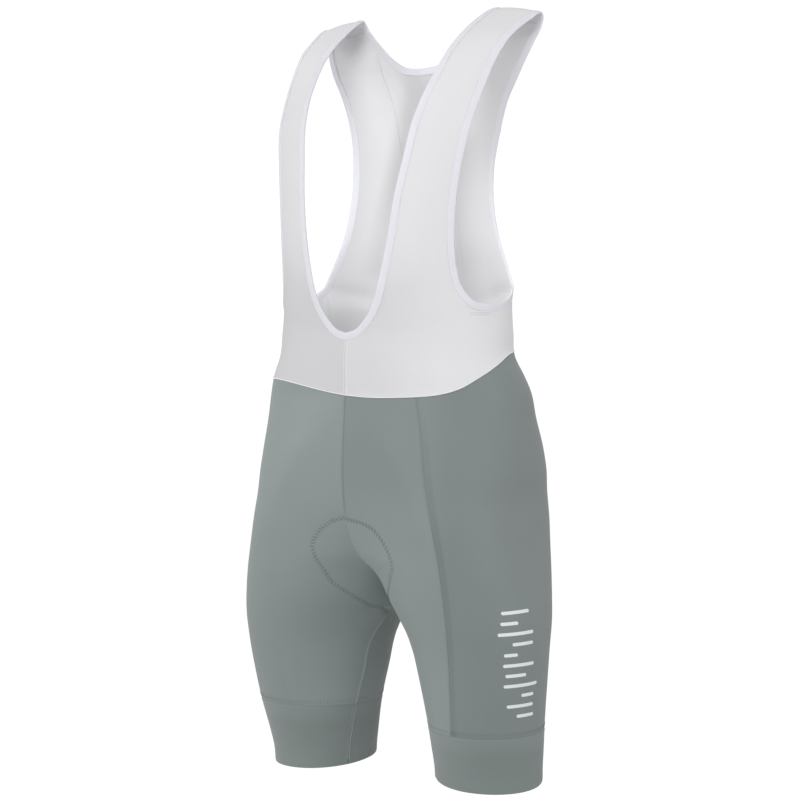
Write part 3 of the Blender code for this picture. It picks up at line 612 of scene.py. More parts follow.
def body_uv(points):
    """Places on the cloth: the distance round from the middle of the front, and the drop."""
    points = points.reshape(-1, 3)
    return np.stack((share_of(points) * half_length(-points[:, 2]), -points[:, 2]), axis=1)


FAN_STEPS, STRAP_COLUMNS, LOWER_ROWS = 4, 26, 16
# Soft folds of the chest and the side, in mm: from and to (round, drop), width and height.
FRONT_FOLDS = {
    1: ((196, 372, 232, 408, 7, -0.9), (205, 362, 246, 392, 6, 0.6), (140, 395, 200, 430, 10, 0.5),
        (60, 402, 120, 420, 9, -0.35), (150, 352, 190, 385, 9, -0.4)),
    -1: ((190, 376, 226, 400, 8, -0.7), (90, 398, 150, 424, 10, 0.4), (200, 366, 240, 386, 7, 0.5)),
}


def side_back_seam(drop):
    """The seam between the bib's front and its back side piece, from the armhole down."""
    corner = bound_edges([0], [0], CLOTH_UNDER_BINDING)[0][0]
    off = corner - skin(SIDE_BACK_SHARE, -corner[2])
    fade = 1 - ease(drop + corner[2], 0, SIDE_BACK_FADE)
    return skin(np.full(np.shape(drop), SIDE_BACK_SHARE), drop) + off * np.reshape(fade, (-1, 1))


def bib_front(side):
    lines = np.vstack((
        np.array([(arm, 0, share) for arm, share in FRONT_FAN]),
        np.array([(arm, neck, 0) for arm, neck in FRONT_STRAP]),
    ))
    lines = finer(lines, FAN_STEPS)
    arm_places, neck_places, share = lines.T
    fan = len(FRONT_FAN) * FAN_STEPS + 1
    start, neck, way = bound_edges(arm_places, neck_places, CLOTH_UNDER_BINDING)
    neck[neck_places < 1e-6, 0] = 0
    line = -neck[fan - 1, 2]
    level = skin(share, np.full(len(lines), line))
    end = np.where((np.arange(len(lines)) < fan - 1)[:, None], level, neck)
    upper = rows_over(start, end, way, STRAP_COLUMNS, front_rows, FRONT_STRAP_FROM)
    upper[0] = side_back_seam(-upper[0, :, 2])
    share = share[:fan]
    bottom = waist_drop(share, side)
    down = np.linspace(0, 1, LOWER_ROWS + 1)[1:, None]
    lower = skin(share, line + (bottom - line) * down)
    lower += (upper[:fan, -1] - skin(share, np.full(fan, line))) * (1 - down)[..., None]
    points = np.vstack((upper.reshape(-1, 3), lower.reshape(-1, 3)))
    ids = np.arange(len(points))
    above = ids[: upper.shape[0] * upper.shape[1]].reshape(upper.shape[:2])
    below = np.vstack((above[:fan, -1], ids[above.size :].reshape(lower.shape[:2])))
    # The upper rows run forward and up the strap, the lower ones down, so the lower faces are turned.
    faces = quads(above) + [face[::-1] for face in quads(below)]
    uv = body_uv(points)
    uv[:, 0] = np.where(points[:, 0] < 1e-6, 0, uv[:, 0])
    half = half_length(uv[:, 1])
    to_shoulder = np.full(len(points), 1.0)
    run = np.linalg.norm(np.diff(upper, axis=0), axis=2)[::-1].cumsum(axis=0)[::-1]
    to_shoulder[: above.size] = np.vstack((run, np.zeros((1, run.shape[1])))).ravel()
    relief = 0.2 * roll(uv[:, 0]) + roll(SIDE_BACK_SHARE * half - uv[:, 0]) + roll(to_shoulder)
    relief += ridge(uv[:, 0], 1.8, 1, 0.3) * (uv[:, 1] > line)
    to_waist = waist_drop(uv[:, 0] / half, side) - uv[:, 1]
    relief += ridge(to_waist, 1.8, 1.1, 0.3) + creases(uv, FRONT_FOLDS[side])
    # Painted shade darkens the cloth low on the chest, and on the right strap.
    low = ease(uv[:, 1], 0.25, 0.36)
    if side > 0:
        painted_shade = 0.3 * low * (1 - ease(uv[:, 0], 0.01, 0.14))
    else:
        painted_shade = (0.04 + 0.16 * ease(uv[:, 1], 0.03, 0.14) + 0.24 * low) * (1 - ease(uv[:, 0], 0.19, 0.25))
    piece = cloth(f"bib_front_{SIDES[side]}", points, faces, uv, WHITE_KNIT, side, relief=relief, painted_shade=painted_shade)


for side in SIDES:
    bib_front(side)


# ---- Bib back side pieces ----------------------------------------------------------------------------
# A strip of the same knit on each side of the back: the back of the strap, then down between the
# armhole and the princess seam, and under the arm to the waist.

PRINCESS_ARM = 22.2  # the armhole's place level with the top of the princess seam
PRINCESS_PLACES = (20.5, 22.5)  # that top lies between these places of the neckline
PRINCESS_COLUMNS = ("drop", "x")
PRINCESS = ((46.5, 69), (87, 51), (155, 39.5), (260, 36), (400, 38))
# The rows over the strap: places on both edges and steps to the next.
BACK_STRAP = ((20, 19, 2), (21, 20, 2))
# And below: places on the armhole, drops on the princess seam in mm, and steps.
BACK_RUNGS = (
    (PRINCESS_ARM, 55, 1), (23, 72, 2), (24, 100, 1), (25, 145, 1), (26, 185, 1), (27, 227, 1),
    (28, 270, 1), (29, 310, 1), (30, 345, 0),
)
ROWS_A_STEP = 6
BELOW_ARMHOLE = np.arange(1, 15) / 14  # rows below the armhole, as shares of the way to the waist
BACK_COLUMNS = 20
# Soft folds of the back, in mm: from and to (across, drop), width and height.
BACK_FOLDS = (
    (60, 120, 95, 165, 12, 0.3), (52, 250, 100, 300, 14, -0.3), (70, 330, 118, 352, 12, 0.3),
    (48, 360, 105, 385, 12, -0.3), (60, 190, 82, 236, 12, 0.2),
)


def between(rows):
    """The places of a table's rows with steps in between, each row's own number for every part."""
    places = [
        [a + (b - a) * i / steps for a, b in zip(here[:-1], there[:-1])]
        for here, there in zip(rows, rows[1:])
        for steps in [here[-1] * ROWS_A_STEP]
        for i in range(steps)
    ]
    return np.array(places + [list(rows[-1][:-1])])


def back_rows(start, end, t):
    place = start[:, None] + (end - start)[:, None] * t
    off = [p - back_form(p[:, 0], -p[:, 2]) for p in (start, end)]
    return back_form(place[..., 0], -place[..., 2]) + off[0][:, None] * (1 - t) + off[1][:, None] * t


def princess_x(drop):
    return read(PRINCESS, PRINCESS_COLUMNS, "x", drop)


def princess_top(width):
    """The place on the neckline where the princess seam starts, a binding's width in."""
    places = np.linspace(*PRINCESS_PLACES, 41)
    _, neck, _ = bound_edges(np.full(len(places), PRINCESS_ARM), places, width)
    return np.interp(0, princess_x(-neck[:, 2]) - neck[:, 0], places)


def waist_of_back(x, side):
    """The drop of the waist seam at distances from the middle plane, at the back."""
    level = np.full(np.shape(x), BACK_WAIST)
    share = share_of(back_form(x, level).reshape(-1, 3)).reshape(level.shape)
    return waist_drop(share, side)


def princess_drops(first, side):
    """The drops at which the rows of both back pieces meet the princess seam."""
    rungs = between(BACK_RUNGS)[1:, 1] * MM
    last = waist_of_back(np.array([princess_x(BACK_WAIST)]), side)[0]
    drops = np.append(rungs, rungs[-1] + (last - rungs[-1]) * BELOW_ARMHOLE)
    nominal = BACK_RUNGS[0][1] * MM
    return first + (drops - nominal) * (last - first) / (last - nominal)


def bib_back_side(side):
    top = princess_top(CLOTH_UNDER_BINDING)
    strap = between(BACK_STRAP + ((PRINCESS_ARM, top, 0),))
    rungs = between(BACK_RUNGS)[1:]
    arm, neck, way = bound_edges(strap[:, 0], strap[:, 1], CLOTH_UNDER_BINDING)
    side_arm, _, side_way = bound_edges(rungs[:, 0], np.full(len(rungs), top), CLOTH_UNDER_BINDING)
    corner = bound_edges([0], [0], CLOTH_UNDER_BINDING)[0][0]
    fade = np.exp(-np.arange(len(side_arm))[::-1] / 4)[:, None]
    side_arm += (corner - side_arm[-1]) * fade
    low, last = waist_drop(np.array([SIDE_BACK_SHARE]), side)[0], -side_arm[-1, 2]
    start = np.vstack((arm, side_arm, side_back_seam(last + (low - last) * BELOW_ARMHOLE)))
    drop = princess_drops(-neck[-1, 2], side)
    down = (drop + neck[-1, 2]) / (drop[-1] + neck[-1, 2])
    seam_edge = back_form(princess_x(drop), drop)
    seam_edge += (neck[-1] - back_form(neck[-1, 0], -neck[-1, 2])) * (1 - ease(down, 0, 0.2))[:, None]
    end = np.vstack((neck, seam_edge))
    way = np.vstack((way, side_way, np.tile(side_way[-1], (len(BELOW_ARMHOLE), 1))))
    rows = rows_over(start, end, way, BACK_COLUMNS, back_rows, BACK_STRAP_FROM)
    # The waist seam's last row follows the seam and not the chord between its ends.
    x = rows[-1, :, 0]
    rows[-1] = np.stack((x, rows[-1, :, 1], -waist_of_back(x, side)), axis=1)
    uv = np.stack((rows[..., 0], -rows[..., 2]), axis=-1)
    across = np.stack([run_of(row) for row in rows])
    run = np.stack([run_of(column) for column in rows.swapaxes(0, 1)], axis=1)
    # A metre is added where an edge is bound and not sewn.
    count = np.arange(len(rows))[:, None]
    inner_bound, outer_bound = count < len(strap) - 1, count < len(rows) - len(BELOW_ARMHOLE) - 1
    relief = roll(across[:, -1:] - across + inner_bound) + roll(across + outer_bound)
    relief += roll(run) + roll(run[-1] - run)
    relief = relief.ravel() + creases(uv.reshape(-1, 2), BACK_FOLDS)
    name = f"bib_back_side_{SIDES[side]}"
    piece = cloth(name, rows, quads(grid(rows)), uv, WHITE_KNIT, side, relief=relief, inside=strap_shadow)


for side in SIDES:
    bib_back_side(side)


# ---- Bib back centre ---------------------------------------------------------------------------------
# The middle of the back, between the two princess seams: the same knit, cut on the fold, from the bound
# neckline down to the waist seam.

NECK_MIDDLE = len(NECK_EDGE) - 1
CENTRE_COLUMNS = 33
CENTRE_FOLDS = (
    (-30, 330, 26, 352, 12, -0.3), (-24, 372, 30, 362, 12, 0.25), (-28, 180, 20, 205, 14, 0.2),
    (-10, 110, 26, 140, 12, -0.2), (-30, 270, 24, 262, 13, 0.2),
)


def bib_back_centre():
    across = np.linspace(-1, 1, CENTRE_COLUMNS)
    part = np.abs(across)
    top = princess_top(CLOTH_UNDER_BINDING)
    places = NECK_MIDDLE - (NECK_MIDDLE - top) * part
    _, neck, _ = bound_edges(np.full(CENTRE_COLUMNS, PRINCESS_ARM), places, CLOTH_UNDER_BINDING)
    neck_drop = -neck[:, 2]
    drops = np.stack([np.append(neck_drop[0], princess_drops(neck_drop[0], side)) for side in (-1, 1)])
    down = (drops - neck_drop[0]) / (drops[:, -1:] - neck_drop[0])
    down = np.where(across > 0, down[1][:, None], down[0][:, None])
    edge_x = princess_x(BACK_WAIST) * part
    low = np.where(across > 0, waist_of_back(edge_x, 1), waist_of_back(edge_x, -1))
    drop = neck_drop + (low - neck_drop) * down
    first = neck[:, 0] / princess_x(neck_drop)
    x = (first + (part - first) * ease(down, 0, 0.3)) * princess_x(drop)
    points = back_form(x, drop)
    points += (neck - back_form(neck[:, 0], neck_drop)) * (1 - ease(down, 0, 0.2))[..., None]
    points[..., 0] *= np.sign(across)
    uv = np.stack((points[..., 0], drop), axis=-1)
    relief = roll(princess_x(drop) - np.abs(points[..., 0])) + roll(low - drop)
    relief = relief[:, ::-1].ravel() + creases(uv[:, ::-1].reshape(-1, 2), CENTRE_FOLDS)
    piece = cloth(
        "bib_back_centre", points[:, ::-1], quads(grid(points)), uv[:, ::-1], WHITE_KNIT, relief=relief,
        inside=strap_shadow,
    )


bib_back_centre()


# ---- Neck and armhole bindings -----------------------------------------------------------------------
# Folded strips of smooth white elastic knit, 8 mm wide when sewn on: one round the neckline and one
# round each armhole, stitched down along their inner edge.

BINDING_WIDTH = 8 * MM
# The binding's section in mm: distance in from its folded rim, and height over the cloth.
BINDING_SECTION = (
    (-0.35, -0.5), (-0.3, 0.15), (0.15, 0.7), (0.9, 0.92), (2.2, 0.86), (4.2, 0.82), (5.7, 0.74), (6.4, 0.45),
    (6.9, 0.5), (7.6, 0.56), (8.0, 0.3), (8.1, -0.3), (7.6, -1.2), (5.8, -1.5), (3.4, -1.55), (1.2, -1.5),
    (0.2, -1.15),
)
PUCKER, PUCKER_PITCH, SLOW_PITCH = 0.12 * MM, 5.3 * MM, 8.9 * MM


def binding_pattern(start):
    """Smooth knit elastic: fine ribs along the strip."""
    _, over, _ = threads_across(start)
    return clouded(start, 40, (0.745, 0.745, 0.795), (0.772, 0.772, 0.818)), over.waves(0.9)


BINDING_WHITE = cloth_material("white binding", 0.6, binding_pattern, 0.03 * MM)


def frames(rim, inner, turn):
    """Directions along, across and out of a closed strip, evened out along it."""
    across = inner - rim
    for _ in range(3):
        across = (np.roll(across, 1, axis=0) + across * 2 + np.roll(across, -1, axis=0)) / 4
    along = unit(np.roll(rim, -1, axis=0) - np.roll(rim, 1, axis=0))
    across = unit(across - along * (across * along).sum(axis=1, keepdims=True))
    return along, across, np.cross(along, across) * turn


def mesh_piece(name, points, faces, uv, look, replaces=None, painted_shade=0):
    """A closed mesh made straight from its points."""
    mesh = bpy.data.meshes.new(name)
    mesh.from_pydata(points.tolist(), [], faces)
    dress(mesh, look, uv, painted_shade)
    mesh.set_sharp_from_angle(angle=math.radians(50))
    piece = placed(name, mesh)
    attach(piece, "root")
    if replaces:
        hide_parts(replaces)
    return piece


def binding(name, rim, inner, turn, side=1):
    along, across, out = frames(rim, inner, turn)
    section = np.array(BINDING_SECTION) * MM
    run = run_of(rim)
    wave = np.sin(run * math.tau / PUCKER_PITCH) + 0.7 * np.sin(run * math.tau / SLOW_PITCH + 1.3)
    lean = ease(section[:, 0], 3 * MM, 7 * MM) * (section[:, 1] > 0)
    height = section[:, 1] + PUCKER * wave[:, None] * lean
    points = rim[:, None] + across[:, None] * section[:, :1] + out[:, None] * height[..., None]
    closed = np.pad(grid(points), ((0, 1), (0, 1)), "wrap")
    faces = [face[:: int(side * turn)] for face in quads(closed)]
    points = (points * (side, 1, 1) - (0, SHOULDER_Y, 0)).reshape(-1, 3)
    uv = np.stack(np.broadcast_arrays(run[:, None], section[:, 0]), axis=-1).reshape(-1, 2)
    # Painted shade: beside the darkened right strap and low on the chest the strip is a little darker too.
    painted_shade = 0.16 * (1 - ease(points[:, 0], -0.02, 0.08)) * (1 - ease(points[:, 1], -0.12, -0.08))
    piece = mesh_piece(name, points, faces, uv, BINDING_WHITE, replaces=name, painted_shade=painted_shade)
    return rim * (side, 1, 1), across * (side, 1, 1), out * (side, 1, 1), along * (side, 1, 1), run


def neck_lines():
    """The neckline, from the front middle over the left strap and round: its rim and its inner edge."""
    strap = finer(FRONT_STRAP, 5)
    top = princess_top(BINDING_WIDTH)
    back = between(BACK_STRAP + ((PRINCESS_ARM, top, 0),))
    part = np.linspace(1, 0, 25)
    centre = np.stack((np.full(len(part), PRINCESS_ARM), NECK_MIDDLE - (NECK_MIDDLE - top) * part), axis=1)
    half = np.vstack((strap, back[1:], centre[1:]))
    lines = (bound_edges(half[:, 0], half[:, 1], width)[1] for width in (0, BINDING_WIDTH))
    return [np.vstack((p, (p * (-1, 1, 1))[-2:0:-1])) for p in lines]


ARMHOLE_NECK = 21.5  # the place on the neckline that the armhole's back is paired with


def armhole_lines():
    """The left armhole, from the side back seam forward and round: its rim and its inner edge."""
    fan, rungs = finer(FRONT_FAN, 5), between(BACK_RUNGS)[1:-1]
    strap, back = finer(FRONT_STRAP, 5), between(BACK_STRAP + ((PRINCESS_ARM, ARMHOLE_NECK, 0),))
    gap = finer((FRONT_FAN[-1], (FRONT_STRAP[0][0], 0)), 3)[1:-1]
    loop = np.vstack((
        np.stack((np.append(fan[:, 0], gap[:, 0]), np.zeros(len(fan) + len(gap))), axis=1), strap, back[1:],
        np.stack((rungs[:, 0], np.full(len(rungs), ARMHOLE_NECK)), axis=1),
    ))
    return [bound_edges(loop[:, 0], loop[:, 1], width)[0] for width in (0, BINDING_WIDTH)]


# Where each binding runs: its rim, and its directions across, out and along.
BOUND = {"neck_binding": binding("neck_binding", *neck_lines(), -1)}
for side, word in SIDES.items():
    name = f"armhole_binding_{word}"
    BOUND[name] = binding(name, *armhole_lines(), 1, side)


# ---- Stitches of the bindings ------------------------------------------------------------------------
# Soft textured polyester thread, laid in short slanted stitches along the inner edge of each binding.

THREAD = 0.16 * MM


def thread(name, roughness, low, high):
    """Fine grain between two tones, over all of the thread."""
    def pattern(start):
        place = start.node("ShaderNodeTexCoord", out=3)
        grain = start.node("ShaderNodeTexNoise", {"Vector": place, "Scale": 2200.0})
        return start.mix(grain, (*low, 1), (*high, 1)), grain

    return cloth_material(name, roughness, pattern, 0.02 * MM)


WHITE_THREAD = thread("white thread", 0.6, (0.82, 0.82, 0.86), (0.93, 0.93, 0.95))


def stitches(name, starts, ends, out, look, radius=THREAD, arch=0.25 * MM):
    """Short threads between pairs of points, arched out of the cloth, with their ends sunk in it."""
    steps, sides = 4, 6
    t = np.linspace(0, 1, steps + 1)[None, :, None]
    line = starts[:, None] + (ends - starts)[:, None] * t
    line = line + out[:, None] * (arch * (4 * t * (1 - t)) ** 0.6 - radius * 1.2 * (1 - 4 * t * (1 - t)))
    along = unit(ends - starts)[:, None]
    over = unit(out[:, None] - along * (out[:, None] * along).sum(axis=2, keepdims=True))
    beside = np.cross(along, over)
    angle = np.arange(sides) * math.tau / sides
    ring = over[:, :, None] * np.cos(angle)[:, None] + beside[:, :, None] * np.sin(angle)[:, None]
    points = (line[:, :, None] + ring * radius).reshape(-1, 3) - (0, SHOULDER_Y, 0)
    ids = np.arange(len(starts) * (steps + 1) * sides).reshape(len(starts), steps + 1, sides)
    wrapped = np.concatenate((ids, ids[..., :1]), axis=2)
    faces = np.stack(
        (wrapped[:, :-1, :-1], wrapped[:, 1:, :-1], wrapped[:, 1:, 1:], wrapped[:, :-1, 1:]), axis=-1
    ).reshape(-1, 4)[:, ::-1].tolist()
    faces += ids[:, 0].tolist() + ids[:, -1, ::-1].tolist()
    return mesh_piece(name, points, faces, None, look)


def along_run(run, lines, places):
    """Points of several lines at distances along a run."""
    return [np.stack([np.interp(places, run, line[:, i]) for i in range(3)], axis=1) for line in lines]


def ring_at(share, drop):
    """Points on the chest's cloth and the directions out of it."""
    points = skin(share, drop)
    return points, skin_normal(points.reshape(-1, 3)).reshape(points.shape)


# Two rows along the middle seam of the chest, and two short ones that tack the left armhole.
CHEST_HALF, ARMPIT_HALF = 0.38, 0.395  # the half girth at these rows, in metres
CHEST_DROPS = np.arange(391, 449, 2.6) * MM
CHEST_ASIDE, CHEST_STITCH, CHEST_THREAD = 1.7 * MM, 1.9 * MM, 0.26 * MM
TACK_DROPS, TACKS, TACK_FROM = (357.5 * MM, 360 * MM), 13, 0.366
TACK_PITCH, TACK_STITCH, TACK_THREAD = 2.3 * MM, 1.7 * MM, 0.4 * MM
OUT_OF_CLOTH = 0.1 * MM

for row, turn in enumerate((-1, 1)):
    here, up = ring_at(np.full(len(CHEST_DROPS), CHEST_ASIDE / CHEST_HALF), CHEST_DROPS)
    here, up = (values * (turn, 1, 1) for values in (here, up))
    here = here + up * OUT_OF_CLOTH
    there = here - (0, 0, CHEST_STITCH)
    stitches(f"chest_stitches_{row}", here, there, up, WHITE_THREAD, CHEST_THREAD)
for row, drop in enumerate(TACK_DROPS):
    share, level = TACK_FROM + np.arange(TACKS) * TACK_PITCH / ARMPIT_HALF, np.full(TACKS, drop)
    here, up = ring_at(share, level)
    there, _ = ring_at(share + TACK_STITCH / ARMPIT_HALF, level)
    lift = up * OUT_OF_CLOTH
    stitches(f"tack_stitches_{row}", here + lift, there + lift, up, WHITE_THREAD, TACK_THREAD)

# The bindings' stitches: how far apart, how far in from the rim and over the cloth, and half their reach
# along the strip and across it.
STITCH_PITCH, STITCH_IN, STITCH_UP = 2.6 * MM, 6.6 * MM, 0.45 * MM
STITCH_ALONG, STITCH_ACROSS = 0.85 * MM, 0.5 * MM
for name, (rim, across, out, along, run) in BOUND.items():
    places = np.arange(1 * MM, run[-1] - 3 * MM, STITCH_PITCH)
    here, over, up, ahead = along_run(run, (rim, across, out, along), places)
    seam = here + over * STITCH_IN + up * STITCH_UP
    reach = ahead * STITCH_ALONG + over * STITCH_ACROSS
    stitches(f"stitches_{name}", seam - reach, seam + reach, up, WHITE_THREAD)


# ---- Shorts panels -----------------------------------------------------------------------------------
# A front, a side and a back panel for each leg, cut from dense grey-green warp-knit stretch cloth with a
# faint satin sheen, and joined edge to edge by flat seams.

LEVEL_DROP = 500 * MM  # from here down every ring of the shorts is level
WAIST_DROP = 440 * MM  # the rows' levels are counted from here, and bent up or down to the waist seam
STRETCH_WALL = 0.9 * MM
MESH_STEP = 4 * MM
SIDE_COLUMNS = ("drop", "front_x", "back_x")
SIDE_SEAMS = (
    (440, 82, 118), (458, 86, 118), (495, 94.7, 120), (537, 102.5, 123), (579, 110, 126), (621, 116.5, 128),
    (660, 119.5, 129), (700, 119.8, 129), (764, 114.9, 126), (809, 110.3, 123), (840, 105.5, 120),
)
ROUND_COLUMNS = ("drop", "share")
INSEAM_ROUND = ((706.5, 0), (714, 0.025), (735, 0.047), (784, 0.06), (827, 0.071), (868, 0.085), (910, 0.088))

BAND_TOP = {1: 838.5 * MM, -1: 824.5 * MM}  # seam over the left and the right leg band


def stretch_pattern(start):
    """Dense stretch cloth: very fine grain, in soft rows down the leg."""
    across, _, place = threads_across(start)
    grain = start.node("ShaderNodeTexNoise", {"Vector": place, "Scale": 1400.0, "Detail": 2.0})
    tone = clouded(start, 22, (0.245, 0.285, 0.279), (0.266, 0.309, 0.302))
    dark = start.mix(grain, (0.207, 0.245, 0.24, 1), (0.288, 0.332, 0.324, 1))
    return start.mix(0.35, tone, dark), across.waves(0.8) * 0.3 + grain


def side_pattern(start):
    """The stretch cloth, a shade darker. Only the left side panel is made of it."""
    colour, height = stretch_pattern(start)
    return colour.mix(0.22, colour, (0.1, 0.11, 0.11, 1)), height


# Rounded bars printed in a column on the left thigh: the drop of each, its half length and how far it
# stands off the column's middle, in mm.
BARS = (
    (692, 19, 4), (704, 10, -8), (716, 24, 1), (728, 14, 8), (740, 7, -11), (752, 20, 0), (764, 12, -6),
    (776, 23, 2), (788, 8, 9), (800, 17, -2), (812, 11, 4),
)
BAR_HALF, BAR_EDGE = 2.0, 6  # half a bar's width, and how steeply the ink's edge rises
# Where the column's middle is, in mm: at its top, that far from the side seam, and moving back as it drops.
COLUMN_TOP, COLUMN_AWAY, COLUMN_SLOPE = 690, 82, 0.05


def print_pattern(start):
    """The left side panel: the same cloth with a column of plain light bars in matt print."""
    colour, height = side_pattern(start)
    around, drop, _ = threads_across(start)
    off = around - ((drop - COLUMN_TOP) * COLUMN_SLOPE + COLUMN_AWAY)
    printed = 0
    for level, half, aside in BARS:
        past = ((off - aside).math("ABSOLUTE") - half).math("MAXIMUM", 0.0)
        over = drop - level
        depth = BAR_HALF - (past * past + over * over).math("SQRT")
        printed = printed + depth * BAR_EDGE * depth.math("GREATER_THAN", 0.0)
    printed = printed.math("MINIMUM", 1.0)
    return colour.mix(printed, colour, (0.84, 0.87, 0.86, 1)), height + printed * 0.8


STRETCH_CLOTH = cloth_material("grey-green stretch cloth", 0.5, stretch_pattern, 0.05 * MM, sheen=0.15)
SIDE_CLOTH = {
    1: cloth_material("printed grey-green side cloth", 0.5, print_pattern, 0.05 * MM, sheen=0.15),
    -1: STRETCH_CLOTH,
}


def seam_share(name, drop):
    """The share of the half girth at which a lengthways seam crosses one level."""
    if name in ("inner_front", "inner_back"):
        past = float(read(INSEAM_ROUND, ROUND_COLUMNS, "share", drop)) if drop > CROTCH_DROP else 0
        return past + (name == "inner_back")
    x, y = half_girth(np.array([drop]))
    length = run_round(x, y)[0]
    x = x[0]
    outer = int(x.argmax())
    half = slice(0, outer + 1) if name == "front_x" else slice(len(x) - 1, outer - 1, -1)
    return np.interp(read(SIDE_SEAMS, SIDE_COLUMNS, name, drop), x[half], length[half]) / length[-1]


def crowded(length, step, first=0.7 * MM):
    """Distances along a length, close together near both ends."""
    near = [0.0]
    gap = first
    while gap < step:
        near.append(near[-1] + gap)
        gap *= 1.5
    near = np.array(near)
    middle = np.linspace(near[-1], length - near[-1], max(int((length - 2 * near[-1]) / step), 1) + 1)
    return np.concatenate((near[:-1], middle, (length - near[:-1])[::-1]))


# The stitched outline of the seat pad on each front, as share of the half girth and drop in metres, and
# on the back.
PAD_SEAM = {
    1: ((0.001, 0.5915), (0.008, 0.592), (0.044, 0.595), (0.074, 0.6015), (0.094, 0.6145), (0.104, 0.6245),
        (0.112, 0.636), (0.118, 0.6505), (0.117, 0.667), (0.112, 0.6805), (0.104, 0.6915), (0.090, 0.7015),
        (0.060, 0.709), (0.045, 0.7135), (0.033, 0.717)),
    -1: ((0.001, 0.590), (0.036, 0.5945), (0.068, 0.606), (0.088, 0.618), (0.096, 0.6265), (0.098, 0.643),
         (0.102, 0.653), (0.116, 0.669), (0.112, 0.6805), (0.104, 0.6915), (0.090, 0.7015), (0.056, 0.711),
         (0.042, 0.7145), (0.033, 0.717)),
}
PAD_SEAM_BACK = (
    (0.985, 0.717), (0.965, 0.7125), (0.940, 0.706), (0.910, 0.694), (0.880, 0.673), (0.870, 0.642),
    (0.875, 0.606), (0.900, 0.576), (0.965, 0.561), (0.999, 0.5595),
)


def from_line(uv, line):
    """Distances of places on the cloth from a line of places, all in metres."""
    line = np.array([(share * float(half_length(drop)), drop) for share, drop in line])
    least = np.full(len(uv), 1.0)
    for here, there in zip(line, line[1:]):
        run = there - here
        t = np.clip((uv - here) @ run / (run @ run), 0, 1)
        least = np.minimum(least, np.linalg.norm(uv - here - t[:, None] * run, axis=1))
    return least


# Each panel and the seams that it runs between.
PANELS = (
    ("front", "inner_front", "front_x"), ("side", "front_x", "back_x"), ("back", "back_x", "inner_back"),
)
PANEL_WIDTH = {"front": 0.11, "side": 0.19, "back": 0.17}  # metres that the columns are spaced out over


def shorts_levels(side):
    """The drops of the rows, nominal above the level where the waist's curve has faded out."""
    bottom = BAND_TOP[side]
    rows = crowded(bottom - WAIST_DROP, MESH_STEP) + WAIST_DROP
    crotch = CROTCH_DROP + np.array((-4, -2.5, -1.5, -0.7, 0, 0.4, 1, 2, 3.2, 4.8)) * MM
    rows = rows[(rows < crotch[0] - 1.5 * MM) | (rows > crotch[-1] + 1.5 * MM)]
    return np.sort(np.concatenate((rows, crotch)))


